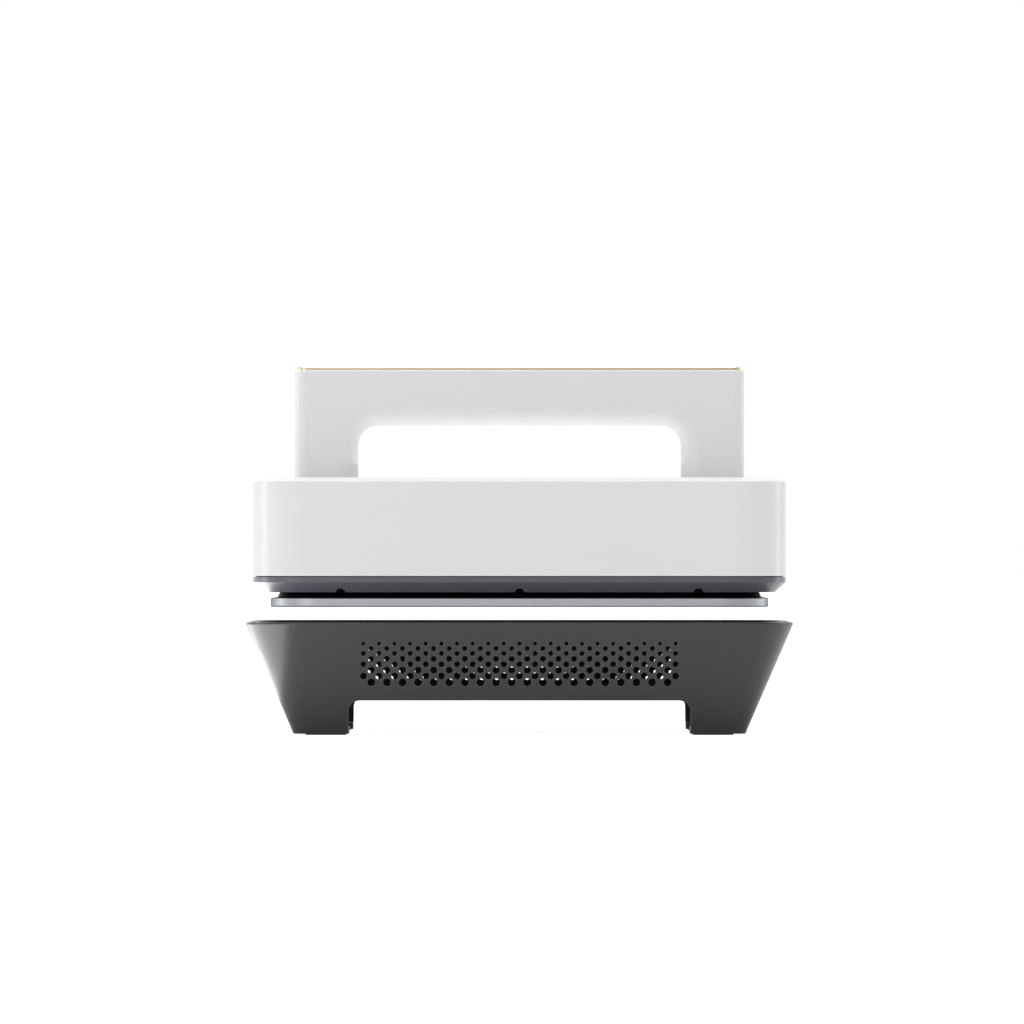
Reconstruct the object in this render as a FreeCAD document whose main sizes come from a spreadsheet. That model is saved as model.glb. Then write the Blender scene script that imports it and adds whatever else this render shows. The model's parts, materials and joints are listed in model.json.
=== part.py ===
import FreeCAD, Part
import math
import os
import re
import Sketcher
from FreeCAD import Placement, Rotation, Vector

# Hand-held heat press hovering above its rest stand.
# Frame: +Z up, origin on the table under the middle of the stand, front towards -Y, X is the width.

doc = FreeCAD.newDocument("HeatPress")

# ---------------------------------------------------------------- driving dimensions, in mm
dimensions = {
    # stand
    "rim_length": (336.0, "stand rim before its edge is rounded, along X"),
    "rim_width": (284.0, "stand rim before its edge is rounded, along Y"),
    "rim_height": (69.0, "top of the rim above the table"),
    "rim_corner": (37.0, "plan radius of the rim's corners"),
    "rim_round": (1.0, "rounding of the rim's outer edge"),
    "wall_taper": (23.5, "lean of the walls from vertical, degrees"),
    "wall_across": (3.3, "wall measured level, across its lean"),
    "shell_bottom": (0.8, "underside of the feet, the pads stand lower"),
    "sole_top": (5.0, "top of the floor inside each foot"),
    "arch_top": (21.2, "underside of the wall between two feet"),
    "arch_half_x": (104.4, "half the gap between the front feet"),
    "arch_half_y": (78.3, "half the gap between the side feet"),
    "arch_corner": (7.0, "radius in the upper corners of the gap"),
    "arch_bevel": (0.8, "bevel round the gap"),
    "hole_pitch": (9.516, "pitch of the grille holes along a row"),
    "hole_first": (1.25, "radius of the holes in the top row"),
    "hole_growth": (0.29, "growth of the radius every second row"),
    "back_less": (1.2, "how much smaller the radius of a back hole is"),
    "row_top": (56.1, "height of the top row of holes"),
    "row_first": (3.0, "first spacing between two rows"),
    "row_growth": (0.3, "growth of the spacing every second row"),
    "pad_side": (25.0, "rubber foot pad, side"),
    "pad_height": (2.0, "rubber foot pad, height"),
    "pad_corner": (3.0, "plan radius of a foot pad"),
    "pad_x": (118.5, "foot pad centre"),
    "pad_y": (92.5, "foot pad centre"),
    "post_x": (122.0, "deflector post inside each foot"),
    "post_y": (95.0, "deflector post inside each foot"),
    "post_thread": (10.0, "depth of the thread in a deflector post"),
    "tray_length": (284.0, "heat deflector"),
    "tray_width": (232.0, "heat deflector"),
    "tray_bottom": (22.5, "underside of the heat deflector"),
    "tray_lip": (3.0, "height of the deflector's lip"),
    "tray_sheet": (1.0, "sheet of the heat deflector"),
    "tray_corner": (12.0, "plan radius of the heat deflector"),
    "bumper_x": (117.0, "centre of a rest bumper"),
    "bumper_length": (22.0, "rest bumper along X"),
    "bumper_drop": (7.0, "height of a bumper's wall side"),
    "bumper_sink": (1.5, "wall side of a bumper below the rim"),
    "bumper_rest": (0.5, "flat foot of a bumper's slope, along Z"),
    "seat_drop": (23.0, "travel of the head down onto the stand"),
    "seat_gap": (0.5, "clearance left to the bumpers when seated"),
    # head
    "plate_length": (304.8, "heater plate, 12 inches"),
    "plate_width": (254.0, "heater plate, 10 inches"),
    "plate_corner": (27.0, "plan radius of the plate"),
    "plate_bottom": (78.4, "underside of the heater plate"),
    "plate_top": (83.8, "top of the plate's flange"),
    "plate_round": (0.5, "rounding of the flange's upper edge"),
    "plate_bevel": (0.6, "bevel of the flange's lower edge"),
    "core_length": (262.0, "thick middle of the heater plate"),
    "core_width": (211.0, "thick middle of the heater plate"),
    "core_top": (92.0, "top of the thick middle"),
    "core_corner": (12.0, "plan radius of the thick middle"),
    "plate_thread": (6.0, "depth of a thread in the thick middle"),
    "step_overlap": (1.0, "overlap of two pads that make one solid"),
    "element_radius": (3.5, "tubular element"),
    "element_half_x": (105.0, "element loop, half length"),
    "element_half_y": (76.0, "element loop, half width"),
    "element_leg_x": (14.0, "element legs either side of the middle"),
    "element_leg_y": (38.0, "where the legs end"),
    "element_bend": (14.0, "bend radius of the element"),
    "bush_radius": (1.8, "bush at an end of the element"),
    "bush_length": (9.0, "bush at an end of the element"),
    "bush_rise": (2.0, "middle of the bush above the plate"),
    "tab_half": (3.1, "spade tab, half its width"),
    "tab_length": (12.0, "spade tab"),
    "tab_sheet": (0.8, "spade tab"),
    "collar_length": (293.4, "neck under the housing"),
    "collar_width": (243.4, "neck under the housing"),
    "collar_flare": (1.7, "how far the neck flares at the plate"),
    "collar_corner": (22.0, "plan radius of the neck"),
    "spigot_less_x": (12.0, "how much shorter the neck's spigot is"),
    "spigot_less_y": (13.0, "how much narrower the neck's spigot is"),
    "spigot_corner": (16.0, "plan radius of the spigot"),
    "spigot_height": (5.6, "height of the spigot"),
    "neck_room": (8.0, "room across the thick middle inside the neck"),
    "neck_corner": (14.0, "plan radius inside the neck"),
    "housing_bottom": (87.4, "underside of the lower housing"),
    "bevel_top": (93.5, "top of the housing's chamfer"),
    "bevel_in": (6.5, "how far the chamfer comes in"),
    "housing_wall": (11.0, "wall of the lower housing"),
    "housing_floor": (3.0, "floor of the lower housing"),
    "seam_bottom": (96.7, "shadow gap below the body shell"),
    "seam_depth": (2.0, "depth of the shadow gap"),
    "body_bottom": (97.3, "lower edge of the body shell"),
    "body_length": (325.6, "body shell along X"),
    "body_width": (275.0, "body shell along Y"),
    "body_corner": (30.0, "plan radius of the body"),
    "crown_bottom": (155.2, "outer edge of the crowned top"),
    "crown_in": (10.0, "width of the crown"),
    "crown_round": (0.8, "rounding of the crown's outer edge"),
    "body_top": (157.4, "flat top of the body"),
    "body_wall": (3.0, "plastic wall"),
    "roof_under": (152.4, "inside of the body's roof"),
    "screw_x": (109.2, "pitch of the housing screws along X"),
    "screw_y": (130.5, "housing screws from the middle"),
    "pocket_radius": (3.0, "counterbore of a housing screw"),
    "pocket_depth": (6.0, "depth of that counterbore"),
    "boss_radius": (4.6, "boss of a housing screw"),
    "boss_thread": (18.0, "depth of the thread in a boss"),
    "shank_radius": (1.5, "M3 screw"),
    "head_radius": (2.7, "M3 screw head"),
    "head_height": (2.0, "M3 screw head"),
    "drive_radius": (1.2, "hexagon drive"),
    "drive_depth": (1.2, "hexagon drive"),
    "handle_length": (278.2, "handle along X"),
    "handle_width": (40.0, "handle along Y"),
    "handle_edge": (0.9, "rounding of the handle's top edge"),
    "handle_top": (224.6, "top of the handle shell"),
    "handle_corner": (6.5, "upright outer edges of the handle"),
    "grip_under": (190.5, "underside of the grip"),
    "opening_half": (100.2, "half the finger opening"),
    "opening_corner": (12.4, "radius in the opening's corners"),
    "grip_round": (11.0, "palm rounding round the opening"),
    "handle_wall": (3.0, "plastic wall of the handle"),
    "handle_floor": (197.5, "floor of the grip's hollow"),
    "post_center": (119.65, "middle of a handle post"),
    "post_floor": (162.0, "floor of the hollow in a post"),
    "post_hollow_x": (29.5, "hollow in a post"),
    "post_hollow_y": (30.0, "hollow in a post"),
    "post_hollow_corner": (3.0, "hollow in a post"),
    "post_screw_y": (12.0, "handle screws from the middle"),
    "cable_way": (5.0, "radius of the way for the handle's cable"),
    "pillar_radius": (3.0, "pillar under the control board"),
    "pillar_thread": (8.0, "thread in a pillar"),
    "trim_length": (275.0, "gold top plate"),
    "trim_width": (36.8, "gold top plate"),
    "trim_corner": (4.8, "gold top plate"),
    "trim_top": (226.5, "top of the gold plate"),
    "trim_bevel": (0.35, "bevel of the gold plate's edge"),
    "window_length": (64.0, "display window"),
    "window_width": (22.0, "display window"),
    "window_corner": (3.0, "display window"),
    "window_sink": (0.2, "window and button caps below the gold plate"),
    "button_radius": (6.5, "button cap"),
    "button_gap": (0.35, "gap round a button cap"),
    "cap_round": (0.4, "rounding of a button cap"),
    "flange_rim": (1.5, "flange round a button cap"),
    "flange_sheet": (1.2, "flange round a button cap"),
    "flange_drop": (0.4, "flange below the gold plate"),
    "stem_radius": (2.0, "stem of a button"),
    "button_overlap": (0.1, "overlap of flange and cap"),
    "button_near": (52.0, "inner buttons from the middle"),
    "button_far": (76.0, "outer buttons from the middle"),
    "board_top": (214.0, "top of the control board"),
    "board_screw_x": (92.0, "control board screws from the middle"),
    "board_screw_y": (10.0, "control board screws from the middle"),
    "board_sheet": (1.6, "circuit board"),
    "board_length": (200.0, "control board"),
    "board_width": (29.0, "control board"),
    "board_corner": (2.0, "control board"),
    "display_less_x": (6.0, "how much shorter than the window the display is"),
    "display_less_y": (3.0, "how much narrower than the window the display is"),
    "display_gap": (0.4, "display below the gold plate"),
    "switch_half": (3.0, "case of a button switch"),
    "switch_case": (2.2, "case of a button switch"),
    "plunger_radius": (1.7, "plunger of a button switch"),
    "switch_top": (217.2, "top of the button switches"),
    "button_foot": (218.5, "lower end of a button's stem"),
    "inlet_x": (62.0, "middle of the mains inlet"),
    "inlet_z": (124.0, "middle of the mains inlet"),
    "inlet_length": (27.4, "inlet body along X"),
    "inlet_tall": (19.8, "inlet body along Z"),
    "inlet_corner": (2.0, "inlet body"),
    "inlet_depth": (17.0, "inlet body behind its flange"),
    "flange_length": (50.0, "inlet flange along X"),
    "flange_tall": (24.0, "inlet flange along Z"),
    "flange_corner": (4.0, "inlet flange"),
    "flange_thick": (2.0, "inlet flange"),
    "mouth_half_x": (12.0, "mouth of the inlet"),
    "mouth_half_z": (8.0, "mouth of the inlet"),
    "mouth_slant": (4.0, "slanted upper corners of the mouth"),
    "mouth_depth": (16.0, "mouth of the inlet"),
    "inlet_screw_x": (20.0, "inlet screws from the inlet's middle"),
    "inlet_head": (1.4, "head of an inlet screw"),
    "pin_half_x": (1.0, "contact blade"),
    "pin_half_z": (2.0, "contact blade"),
    "pin_side": (7.0, "outer contacts from the middle"),
    "pin_offset": (2.0, "contacts above and below the middle"),
    "pin_start": (3.0, "front of a contact behind the body's face"),
    "pin_length": (22.0, "contact blade"),
    "shield_length": (290.0, "heat shield"),
    "shield_width": (239.0, "heat shield"),
    "shield_top": (106.8, "top of the heat shield"),
    "shield_sheet": (0.8, "sheet of the heat shield"),
    "shield_corner": (14.0, "plan radius of the heat shield"),
    "shield_lip": (6.5, "flange round the heat shield"),
    "lip_corner": (18.0, "plan radius of that flange"),
    "rivet_x": (120.0, "rivets from the middle"),
    "rivet_out": (3.6, "rivets outside the shield's wall"),
    "rivet_radius": (1.0, "rivet"),
    "rivet_head": (2.0, "radius of a rivet's head"),
    "rivet_height": (1.0, "height of a rivet's head"),
    "rivet_sink": (2.0, "depth of a rivet in the housing's floor"),
    "lead_inset": (15.0, "leads from the ends of the element's legs"),
    "lead_hole": (3.5, "radius of a lead's hole in the shield"),
    "blanket_more": (6.0, "how much larger than the core the blanket is"),
    "blanket_gap": (4.0, "blanket above the plate"),
    "blanket_free": (0.4, "blanket below the shield"),
    "blanket_corner": (10.0, "insulation blanket"),
    "window_x": (130.0, "opening in the blanket over the sensors"),
    "window_y": (100.0, "opening in the blanket over the sensors"),
    "window_round": (6.0, "opening in the blanket over the sensors"),
    "window_shift": (2.0, "opening in the blanket, towards the back"),
    "standoff_room": (4.3, "hole in the blanket round a standoff"),
    "standoff_x": (118.0, "plate standoffs"),
    "standoff_y": (92.0, "plate standoffs"),
    "standoff_radius": (4.0, "plate standoffs"),
    "power_board_z": (124.0, "underside of the power board"),
    "power_board_x": (62.0, "half the power board"),
    "power_board_y": (42.0, "half the power board"),
    "power_board_corner": (3.0, "plan radius of the power board"),
    "board_inset": (5.0, "power board screws in from its edges"),
    "board_thread": (9.0, "thread in a board post"),
    "relay_x": (28.0, "power relay"),
    "relay_y": (18.0, "power relay"),
    "relay_length": (29.0, "power relay"),
    "relay_width": (13.0, "power relay"),
    "relay_height": (20.0, "power relay"),
    "case_corner": (0.8, "upright edges of the relay"),
    "transformer_x": (-28.0, "small transformer"),
    "transformer_y": (10.0, "small transformer"),
    "core_long": (34.0, "transformer core along X"),
    "core_wide": (28.0, "transformer core along Y"),
    "core_tall": (18.0, "transformer core"),
    "core_edge": (1.0, "upright edges of that core"),
    "winding_long": (22.0, "transformer winding along X"),
    "winding_wide": (36.0, "transformer winding along Y"),
    "winding_tall": (10.0, "transformer winding"),
    "winding_rise": (4.0, "winding above the board"),
    "winding_edge": (3.0, "upright edges of the winding"),
    "capacitor_x": (-6.0, "first capacitor"),
    "capacitor_y": (-24.0, "capacitors"),
    "capacitor_radius": (6.0, "capacitor"),
    "capacitor_height": (19.0, "capacitor"),
    "capacitor_pitch": (16.0, "pitch of the capacitors"),
    "heater_lead": (1.4, "radius of an element lead"),
    "mains_lead": (1.6, "radius of a mains lead"),
    "mains_end_x": (4.0, "mains leads on the board"),
    "mains_end_y": (12.0, "mains leads in from the board's edge"),
    "mains_rise": (13.0, "top of the mains leads above the board"),
    "mains_straight": (20.0, "straight run behind the inlet"),
    "mains_start": (25.0, "back end of the contacts in from the body's face"),
    "cable_radius": (2.2, "handle's cable"),
    "cable_bend": (8.0, "bends of the leads and the cable"),
    "cable_end_bend": (6.0, "last bend of the cable"),
    "cable_start": (8.0, "cable in from the power board's edge"),
    "cable_end_x": (-97.0, "where the cable meets the control board"),
    "cable_rise": (15.0, "cable above the power board"),
    "cable_grip": (7.5, "cable above the floor of the grip"),
    "thermostat_x": (-44.0, "thermostat"),
    "thermostat_y": (-12.0, "thermostat"),
    "thermostat_radius": (8.0, "thermostat"),
    "thermostat_can": (6.0, "height of the thermostat's can"),
    "thermostat_neck": (6.5, "radius of the thermostat's cap"),
    "thermostat_cap": (3.0, "height of the thermostat's cap"),
    "thermostat_tab": (16.0, "half the length of the thermostat's tabs"),
    "tab_rise": (7.2, "thermostat tabs above the plate"),
    "fuse_x": (32.0, "left end of the thermal fuse"),
    "fuse_y": (-14.0, "thermal fuse"),
    "fuse_radius": (2.2, "thermal fuse"),
    "fuse_length": (12.0, "thermal fuse"),
    "fuse_lead": (0.6, "radius of the fuse's lead"),
    "lead_reach": (8.0, "how far that lead runs past the fuse"),
    "sensor_y": (-20.0, "temperature sensor"),
    "lug_radius": (4.0, "lug of the temperature sensor"),
    "lug_sheet": (1.0, "lug of the temperature sensor"),
    "bead_radius": (1.6, "bead of the temperature sensor"),
    "bead_rise": (2.2, "middle of the bead above the plate"),
    "bead_length": (14.0, "bead of the temperature sensor"),
}
sheet = doc.addObject("Spreadsheet::Sheet", "Dims")
for row, (alias, (number, note)) in enumerate(dimensions.items(), start=1):
    sheet.set(f"A{row}", alias)
    sheet.set(f"B{row}", str(number))
    sheet.set(f"C{row}", note)
    sheet.setAlias(f"B{row}", alias)
doc.recompute()


def bound(expression):
    """The expression with each dimension's name pointing at its cell."""
    return re.sub(r"\b[a-z]+(?:_[a-z]+)+\b", lambda match: "Dims." + match.group(), expression)


def value(expression):
    """The expression's number at the present dimensions."""
    result = sheet.evalExpression(expression)
    return float(getattr(result, "Value", result))


# ---------------------------------------------------------------- sketches and features
nodes = []


def keep(piece, label):
    """Name a finished piece and list it for export."""
    piece.Label = label
    nodes.append(piece)
    return piece


def new_body(label):
    body = doc.addObject("PartDesign::Body", label)
    body.AllowCompound = True
    return keep(body, label)


def origin_part(body, role):
    return next(part for part in body.Origin.OriginFeatures if part.Role == role)


def new_sketch(body, plane, offset="0"):
    """Sketch on one of the body's own planes, moved along the plane's normal."""
    sketch = body.newObject("Sketcher::SketchObject", "Outline")
    sketch.AttachmentSupport = [(origin_part(body, plane), "")]
    sketch.MapMode = "FlatFace"
    sketch.setExpression("AttachmentOffset.Base.z", bound(offset))
    return sketch


def fix_point(sketch, index, corner, x, y):
    """Hold a point of the sketch at x, y from the origin."""
    for kind, axis, expression in (("DistanceX", -2, x), ("DistanceY", -1, y)):
        number = value(expression)
        if abs(number) < 1e-9:
            sketch.addConstraint(Sketcher.Constraint("PointOnObject", index, corner, axis))
            continue
        place = sketch.addConstraint(Sketcher.Constraint(kind, -1, 1, index, corner, number))
        sketch.setExpression(f"Constraints[{place}]", bound(expression))


def draw_polygon(sketch, points):
    """Closed outline through points given as pairs of expressions."""
    first = sketch.GeometryCount
    places = [Vector(value(x), value(y), 0) for x, y in points]
    for start, end in zip(places, places[1:] + places[:1]):
        sketch.addGeometry(Part.LineSegment(start, end), False)
    for step, (x, y) in enumerate(points):
        following = first + (step + 1) % len(points)
        sketch.addConstraint(Sketcher.Constraint("Coincident", first + step, 2, following, 1))
        fix_point(sketch, first + step, 1, x, y)


def draw_rectangle(sketch, left, right, low, high):
    draw_polygon(sketch, [(left, low), (right, low), (right, high), (left, high)])


def draw_circle(sketch, x, y, radius):
    centre = Vector(value(x), value(y), 0)
    index = sketch.addGeometry(Part.Circle(centre, Vector(0, 0, 1), value(radius)), False)
    fix_point(sketch, index, 3, x, y)
    place = sketch.addConstraint(Sketcher.Constraint("Radius", index, value(radius)))
    sketch.setExpression(f"Constraints[{place}]", bound(radius))


def draw_rounded(sketch, length, width, radius, x="0", y="0"):
    """Rounded rectangle about x, y, drawn anticlockwise from its lower side."""
    first = sketch.GeometryCount
    round_off = value(radius)
    right, left = value(f"{x} + ({length}) / 2"), value(f"{x} - ({length}) / 2")
    high, low = value(f"{y} + ({width}) / 2"), value(f"{y} - ({width}) / 2")
    ends = [
        (Vector(left + round_off, low), Vector(right - round_off, low)),
        (Vector(right, low + round_off), Vector(right, high - round_off)),
        (Vector(right - round_off, high), Vector(left + round_off, high)),
        (Vector(left, high - round_off), Vector(left, low + round_off)),
    ]
    centres = [
        Vector(right - round_off, low + round_off),
        Vector(right - round_off, high - round_off),
        Vector(left + round_off, high - round_off),
        Vector(left + round_off, low + round_off),
    ]
    for quarter, ((start, end), centre) in enumerate(zip(ends, centres)):
        sketch.addGeometry(Part.LineSegment(start, end), False)
        turn = math.radians(90 * quarter)
        circle = Part.Circle(centre, Vector(0, 0, 1), round_off)
        sketch.addGeometry(Part.ArcOfCircle(circle, turn - math.pi / 2, turn), False)
    for step in range(8):
        following = first + (step + 1) % 8
        sketch.addConstraint(Sketcher.Constraint("Tangent", first + step, 2, following, 1))
    for step, kind in ((0, "Horizontal"), (2, "Vertical"), (4, "Horizontal"), (6, "Vertical")):
        sketch.addConstraint(Sketcher.Constraint(kind, first + step))
    for step in (3, 5, 7):
        sketch.addConstraint(Sketcher.Constraint("Equal", first + 1, first + step))
    place = sketch.addConstraint(Sketcher.Constraint("Radius", first + 1, round_off))
    sketch.setExpression(f"Constraints[{place}]", bound(radius))
    sides = [
        ("DistanceY", 0, low, f"{y} - ({width}) / 2"),
        ("DistanceX", 2, right, f"{x} + ({length}) / 2"),
        ("DistanceY", 4, high, f"{y} + ({width}) / 2"),
        ("DistanceX", 6, left, f"{x} - ({length}) / 2"),
    ]
    for kind, step, number, expression in sides:
        place = sketch.addConstraint(Sketcher.Constraint(kind, -1, 1, first + step, 1, number))
        sketch.setExpression(f"Constraints[{place}]", bound(expression))


def pad(body, sketch, length, down=False, both=False, taper=None):
    feature = body.newObject("PartDesign::Pad", "Pad")
    feature.Profile = sketch
    feature.setExpression("Length", bound(length))
    feature.Reversed = down
    if both:
        feature.SideType = "Symmetric"
    if taper:
        feature.setExpression("TaperAngle", bound(taper))
    body.Tip = feature
    doc.recompute()
    return feature


def pocket(body, sketch, length=None, up=False, both=False, taper=None):
    """Cut away; up is along the sketch's normal. Without a length it goes through."""
    before = body.Shape.Volume
    feature = body.newObject("PartDesign::Pocket", "Pocket")
    feature.Profile = sketch
    feature.Reversed = up
    if both:
        feature.SideType = "Symmetric"
    if length:
        feature.setExpression("Length", bound(length))
    else:
        feature.Type = "ThroughAll"
    if taper:
        feature.setExpression("TaperAngle", bound(taper))
    body.Tip = feature
    doc.recompute()
    if body.Shape.Volume > before - 0.01:
        raise RuntimeError(f"{body.Label}: a pocket removes nothing")
    return feature


def loft(body, sections):
    feature = body.newObject("PartDesign::AdditiveLoft", "Loft")
    feature.Profile = sections[0]
    feature.Sections = sections[1:]
    feature.Ruled = True
    body.Tip = feature
    doc.recompute()
    return feature


def repeat(body, features, x_span, x_count, y_span="0", y_count=1):
    """Copy features into rows that start at the features themselves."""
    pattern = body.newObject("PartDesign::LinearPattern", "Pattern")
    pattern.Originals = features
    pattern.Direction = (origin_part(body, "X_Axis"), [""])
    pattern.setExpression("Length", bound(x_span))
    pattern.Occurrences = x_count
    if y_count > 1:
        pattern.Direction2 = (origin_part(body, "Y_Axis"), [""])
        pattern.setExpression("Length2", bound(y_span))
        pattern.Occurrences2 = y_count
    body.Tip = pattern
    doc.recompute()
    return pattern


def round_edges(body, chosen, radius, kind="Fillet"):
    """Fillet or chamfer the edges of the present shape that chosen() accepts."""
    base = body.Tip
    names = [f"Edge{i}" for i, edge in enumerate(base.Shape.Edges, start=1) if chosen(edge)]
    if not names:
        raise RuntimeError(f"{body.Label}: no edge to round")
    feature = body.newObject("PartDesign::" + kind, kind)
    feature.Base = (base, names)
    feature.setExpression("Radius" if kind == "Fillet" else "Size", bound(radius))
    body.Tip = feature
    doc.recompute()
    return feature


def level_at(height):
    """Accepts edges that lie level at this height."""
    place = value(height)

    def test(edge):
        box = edge.BoundBox
        return abs(box.ZMin - place) < 1e-4 and abs(box.ZMax - place) < 1e-4

    return test


def tube(label, corners, bends, radius):
    """Round bar along straight runs joined by tangent arcs; corners are Vectors."""
    edges = []
    start = corners[0]
    for before, corner, after, bend in zip(corners, corners[1:], corners[2:], bends):
        coming = (corner - before).normalize()
        going = (after - corner).normalize()
        half_turn = coming.getAngle(going) / 2
        reach = bend * math.tan(half_turn)
        first, last = corner - coming * reach, corner + going * reach
        inward = (going - coming).normalize()
        middle = corner + inward * (bend / math.cos(half_turn) - bend)
        edges.append(Part.LineSegment(start, first).toShape())
        edges.append(Part.Arc(first, middle, last).toShape())
        start = last
    edges.append(Part.LineSegment(start, corners[-1]).toShape())
    path = Part.Wire(edges)
    circle = Part.Circle(corners[0], corners[1] - corners[0], radius)
    section = Part.Wire([circle.toShape()])
    piece = doc.addObject("Part::Feature", label)
    piece.Shape = path.makePipeShell([section], True, False)
    return piece


def group(label, pieces):
    """Several like pieces kept as one node of separate solids."""
    compound = doc.addObject("Part::Compound", label)
    compound.Links = pieces
    return keep(compound, label)


def screws(label, x, y, seat, length, x_count=2, y_count=2, point_down=True):
    """Rows of M3 screws symmetric about the middle, heads on the seat height."""
    body = new_body(label)
    way = "" if point_down else "-1 * "
    head = new_sketch(body, "XY_Plane", seat)
    draw_circle(head, f"-1 * ({x})", f"-1 * ({y})", "head_radius")
    top = pad(body, head, "head_height", down=not point_down)
    shank = new_sketch(body, "XY_Plane", seat)
    draw_circle(shank, f"-1 * ({x})", f"-1 * ({y})", "shank_radius")
    stem = pad(body, shank, length, down=point_down)
    drive = new_sketch(body, "XY_Plane", f"({seat}) + {way}head_height")
    corners = []
    for step in range(6):
        angle = f"({60 * step} deg)"
        corners.append((f"drive_radius * cos{angle} - ({x})", f"drive_radius * sin{angle} - ({y})"))
    draw_polygon(drive, corners)
    recess = pocket(body, drive, "drive_depth", up=not point_down)
    repeat(body, [top, stem, recess], f"2 * ({x})", x_count, f"2 * ({y})", y_count)
    return body


# ---------------------------------------------------------------- stand
def make_stand_frame():
    body = new_body("stand_frame")
    outer = new_sketch(body, "XY_Plane", "rim_height")
    draw_rounded(outer, "rim_length", "rim_width", "rim_corner")
    pad(body, outer, "rim_height - shell_bottom", down=True, taper="-1 * wall_taper")
    inner = new_sketch(body, "XY_Plane", "rim_height")
    draw_rounded(inner, "rim_length - 2 * wall_across", "rim_width - 2 * wall_across",
                 "rim_corner - wall_across")
    pocket(body, inner, "rim_height - sole_top", taper="-1 * wall_taper")
    # posts that carry the deflector, one on each foot's floor
    posts = new_sketch(body, "XY_Plane", "sole_top - step_overlap")
    for side_x in (-1, 1):
        for side_y in (-1, 1):
            draw_circle(posts, f"{side_x} * post_x", f"{side_y} * post_y", "standoff_radius")
    pad(body, posts, "tray_bottom - sole_top + step_overlap")
    # gaps that leave four feet
    for plane, half in (("XZ_Plane", "arch_half_x"), ("YZ_Plane", "arch_half_y")):
        arch = new_sketch(body, plane)
        draw_rounded(arch, f"2 * {half}", "2 * arch_top", "arch_corner")
        pocket(body, arch, both=True)
    round_edges(body, is_arch_edge, "arch_bevel", kind="Chamfer")
    round_edges(body, is_rim_edge, "rim_round")
    # recess for each rubber pad, and the thread of each post
    recess = new_sketch(body, "XY_Plane", "shell_bottom")
    thread = new_sketch(body, "XY_Plane", "tray_bottom")
    for side_x in (-1, 1):
        for side_y in (-1, 1):
            x, y = f"{side_x} * pad_x", f"{side_y} * pad_y"
            draw_rounded(recess, "pad_side", "pad_side", "pad_corner", x, y)
            draw_circle(thread, f"{side_x} * post_x", f"{side_y} * post_y", "shank_radius")
    pocket(body, recess, "pad_height - shell_bottom", up=True)
    pocket(body, thread, "post_thread")
    make_grille(body)
    return body


def is_arch_edge(edge):
    """Outline of a gap between two feet, on the outside of the wall."""
    middle = edge.valueAt((edge.FirstParameter + edge.LastParameter) / 2)
    lean = (value("rim_height") - middle.z) * math.tan(math.radians(value("wall_taper")))
    inside_x = abs(middle.x) < value("arch_half_x") + 0.01
    inside_y = abs(middle.y) < value("arch_half_y") + 0.01
    on_front = abs(abs(middle.y) - value("rim_width / 2") + lean) < 0.01
    on_side = abs(abs(middle.x) - value("rim_length / 2") + lean) < 0.01
    low = middle.z < value("arch_top") + 0.01
    return low and (on_front and inside_x or on_side and inside_y)


def is_rim_edge(edge):
    """The outer outline of the rim."""
    box = edge.BoundBox
    place = value("rim_height")
    if abs(box.ZMin - place) > 1e-4 or abs(box.ZMax - place) > 1e-4:
        return False
    middle = edge.valueAt((edge.FirstParameter + edge.LastParameter) / 2)
    half_x, half_y = value("rim_length / 2"), value("rim_width / 2")
    if isinstance(edge.Curve, Part.Line):
        return abs(abs(middle.x) - half_x) < 1e-3 or abs(abs(middle.y) - half_y) < 1e-3
    corner = Vector(half_x - value("rim_corner"), half_y - value("rim_corner"), place)
    reach = Vector(abs(middle.x), abs(middle.y), place).distanceToPoint(corner)
    return abs(reach - value("rim_corner")) < 1e-2


def make_grille(body):
    """Eight staggered rows of level holes in the front wall, and smaller ones in the back."""
    for less, backwards in (("0", False), ("back_less", True)):
        height = "row_top"
        for row in range(8):
            count = 21 - row % 2
            sketch = new_sketch(body, "XZ_Plane")
            radius = f"hole_first + {(row + 1) // 2} * hole_growth - {less}"
            draw_circle(sketch, f"-1 * {(count - 1) / 2} * hole_pitch", height, radius)
            first = pocket(body, sketch, up=not backwards)
            repeat(body, [first], f"{count - 1} * hole_pitch", count)
            height = f"{height} - row_first - {row // 2} * row_growth"


def make_foot_pads():
    body = new_body("foot_pads")
    sketch = new_sketch(body, "XY_Plane")
    draw_rounded(sketch, "pad_side", "pad_side", "pad_corner", "-1 * pad_x", "-1 * pad_y")
    block = pad(body, sketch, "pad_height")
    repeat(body, [block], "2 * pad_x", 2, "2 * pad_y", 2)


def make_heat_deflector():
    body = new_body("heat_deflector")
    outer = new_sketch(body, "XY_Plane", "tray_bottom")
    draw_rounded(outer, "tray_length", "tray_width", "tray_corner")
    pad(body, outer, "tray_lip + tray_sheet")
    inner = new_sketch(body, "XY_Plane", "tray_bottom + tray_sheet")
    draw_rounded(inner, "tray_length - 2 * tray_sheet", "tray_width - 2 * tray_sheet",
                 "tray_corner - tray_sheet")
    pocket(body, inner, "tray_lip", up=True)
    holes = new_sketch(body, "XY_Plane", "tray_bottom")
    for side_x in (-1, 1):
        for side_y in (-1, 1):
            draw_circle(holes, f"{side_x} * post_x", f"{side_y} * post_y", "shank_radius")
    pocket(body, holes, both=True)


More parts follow.
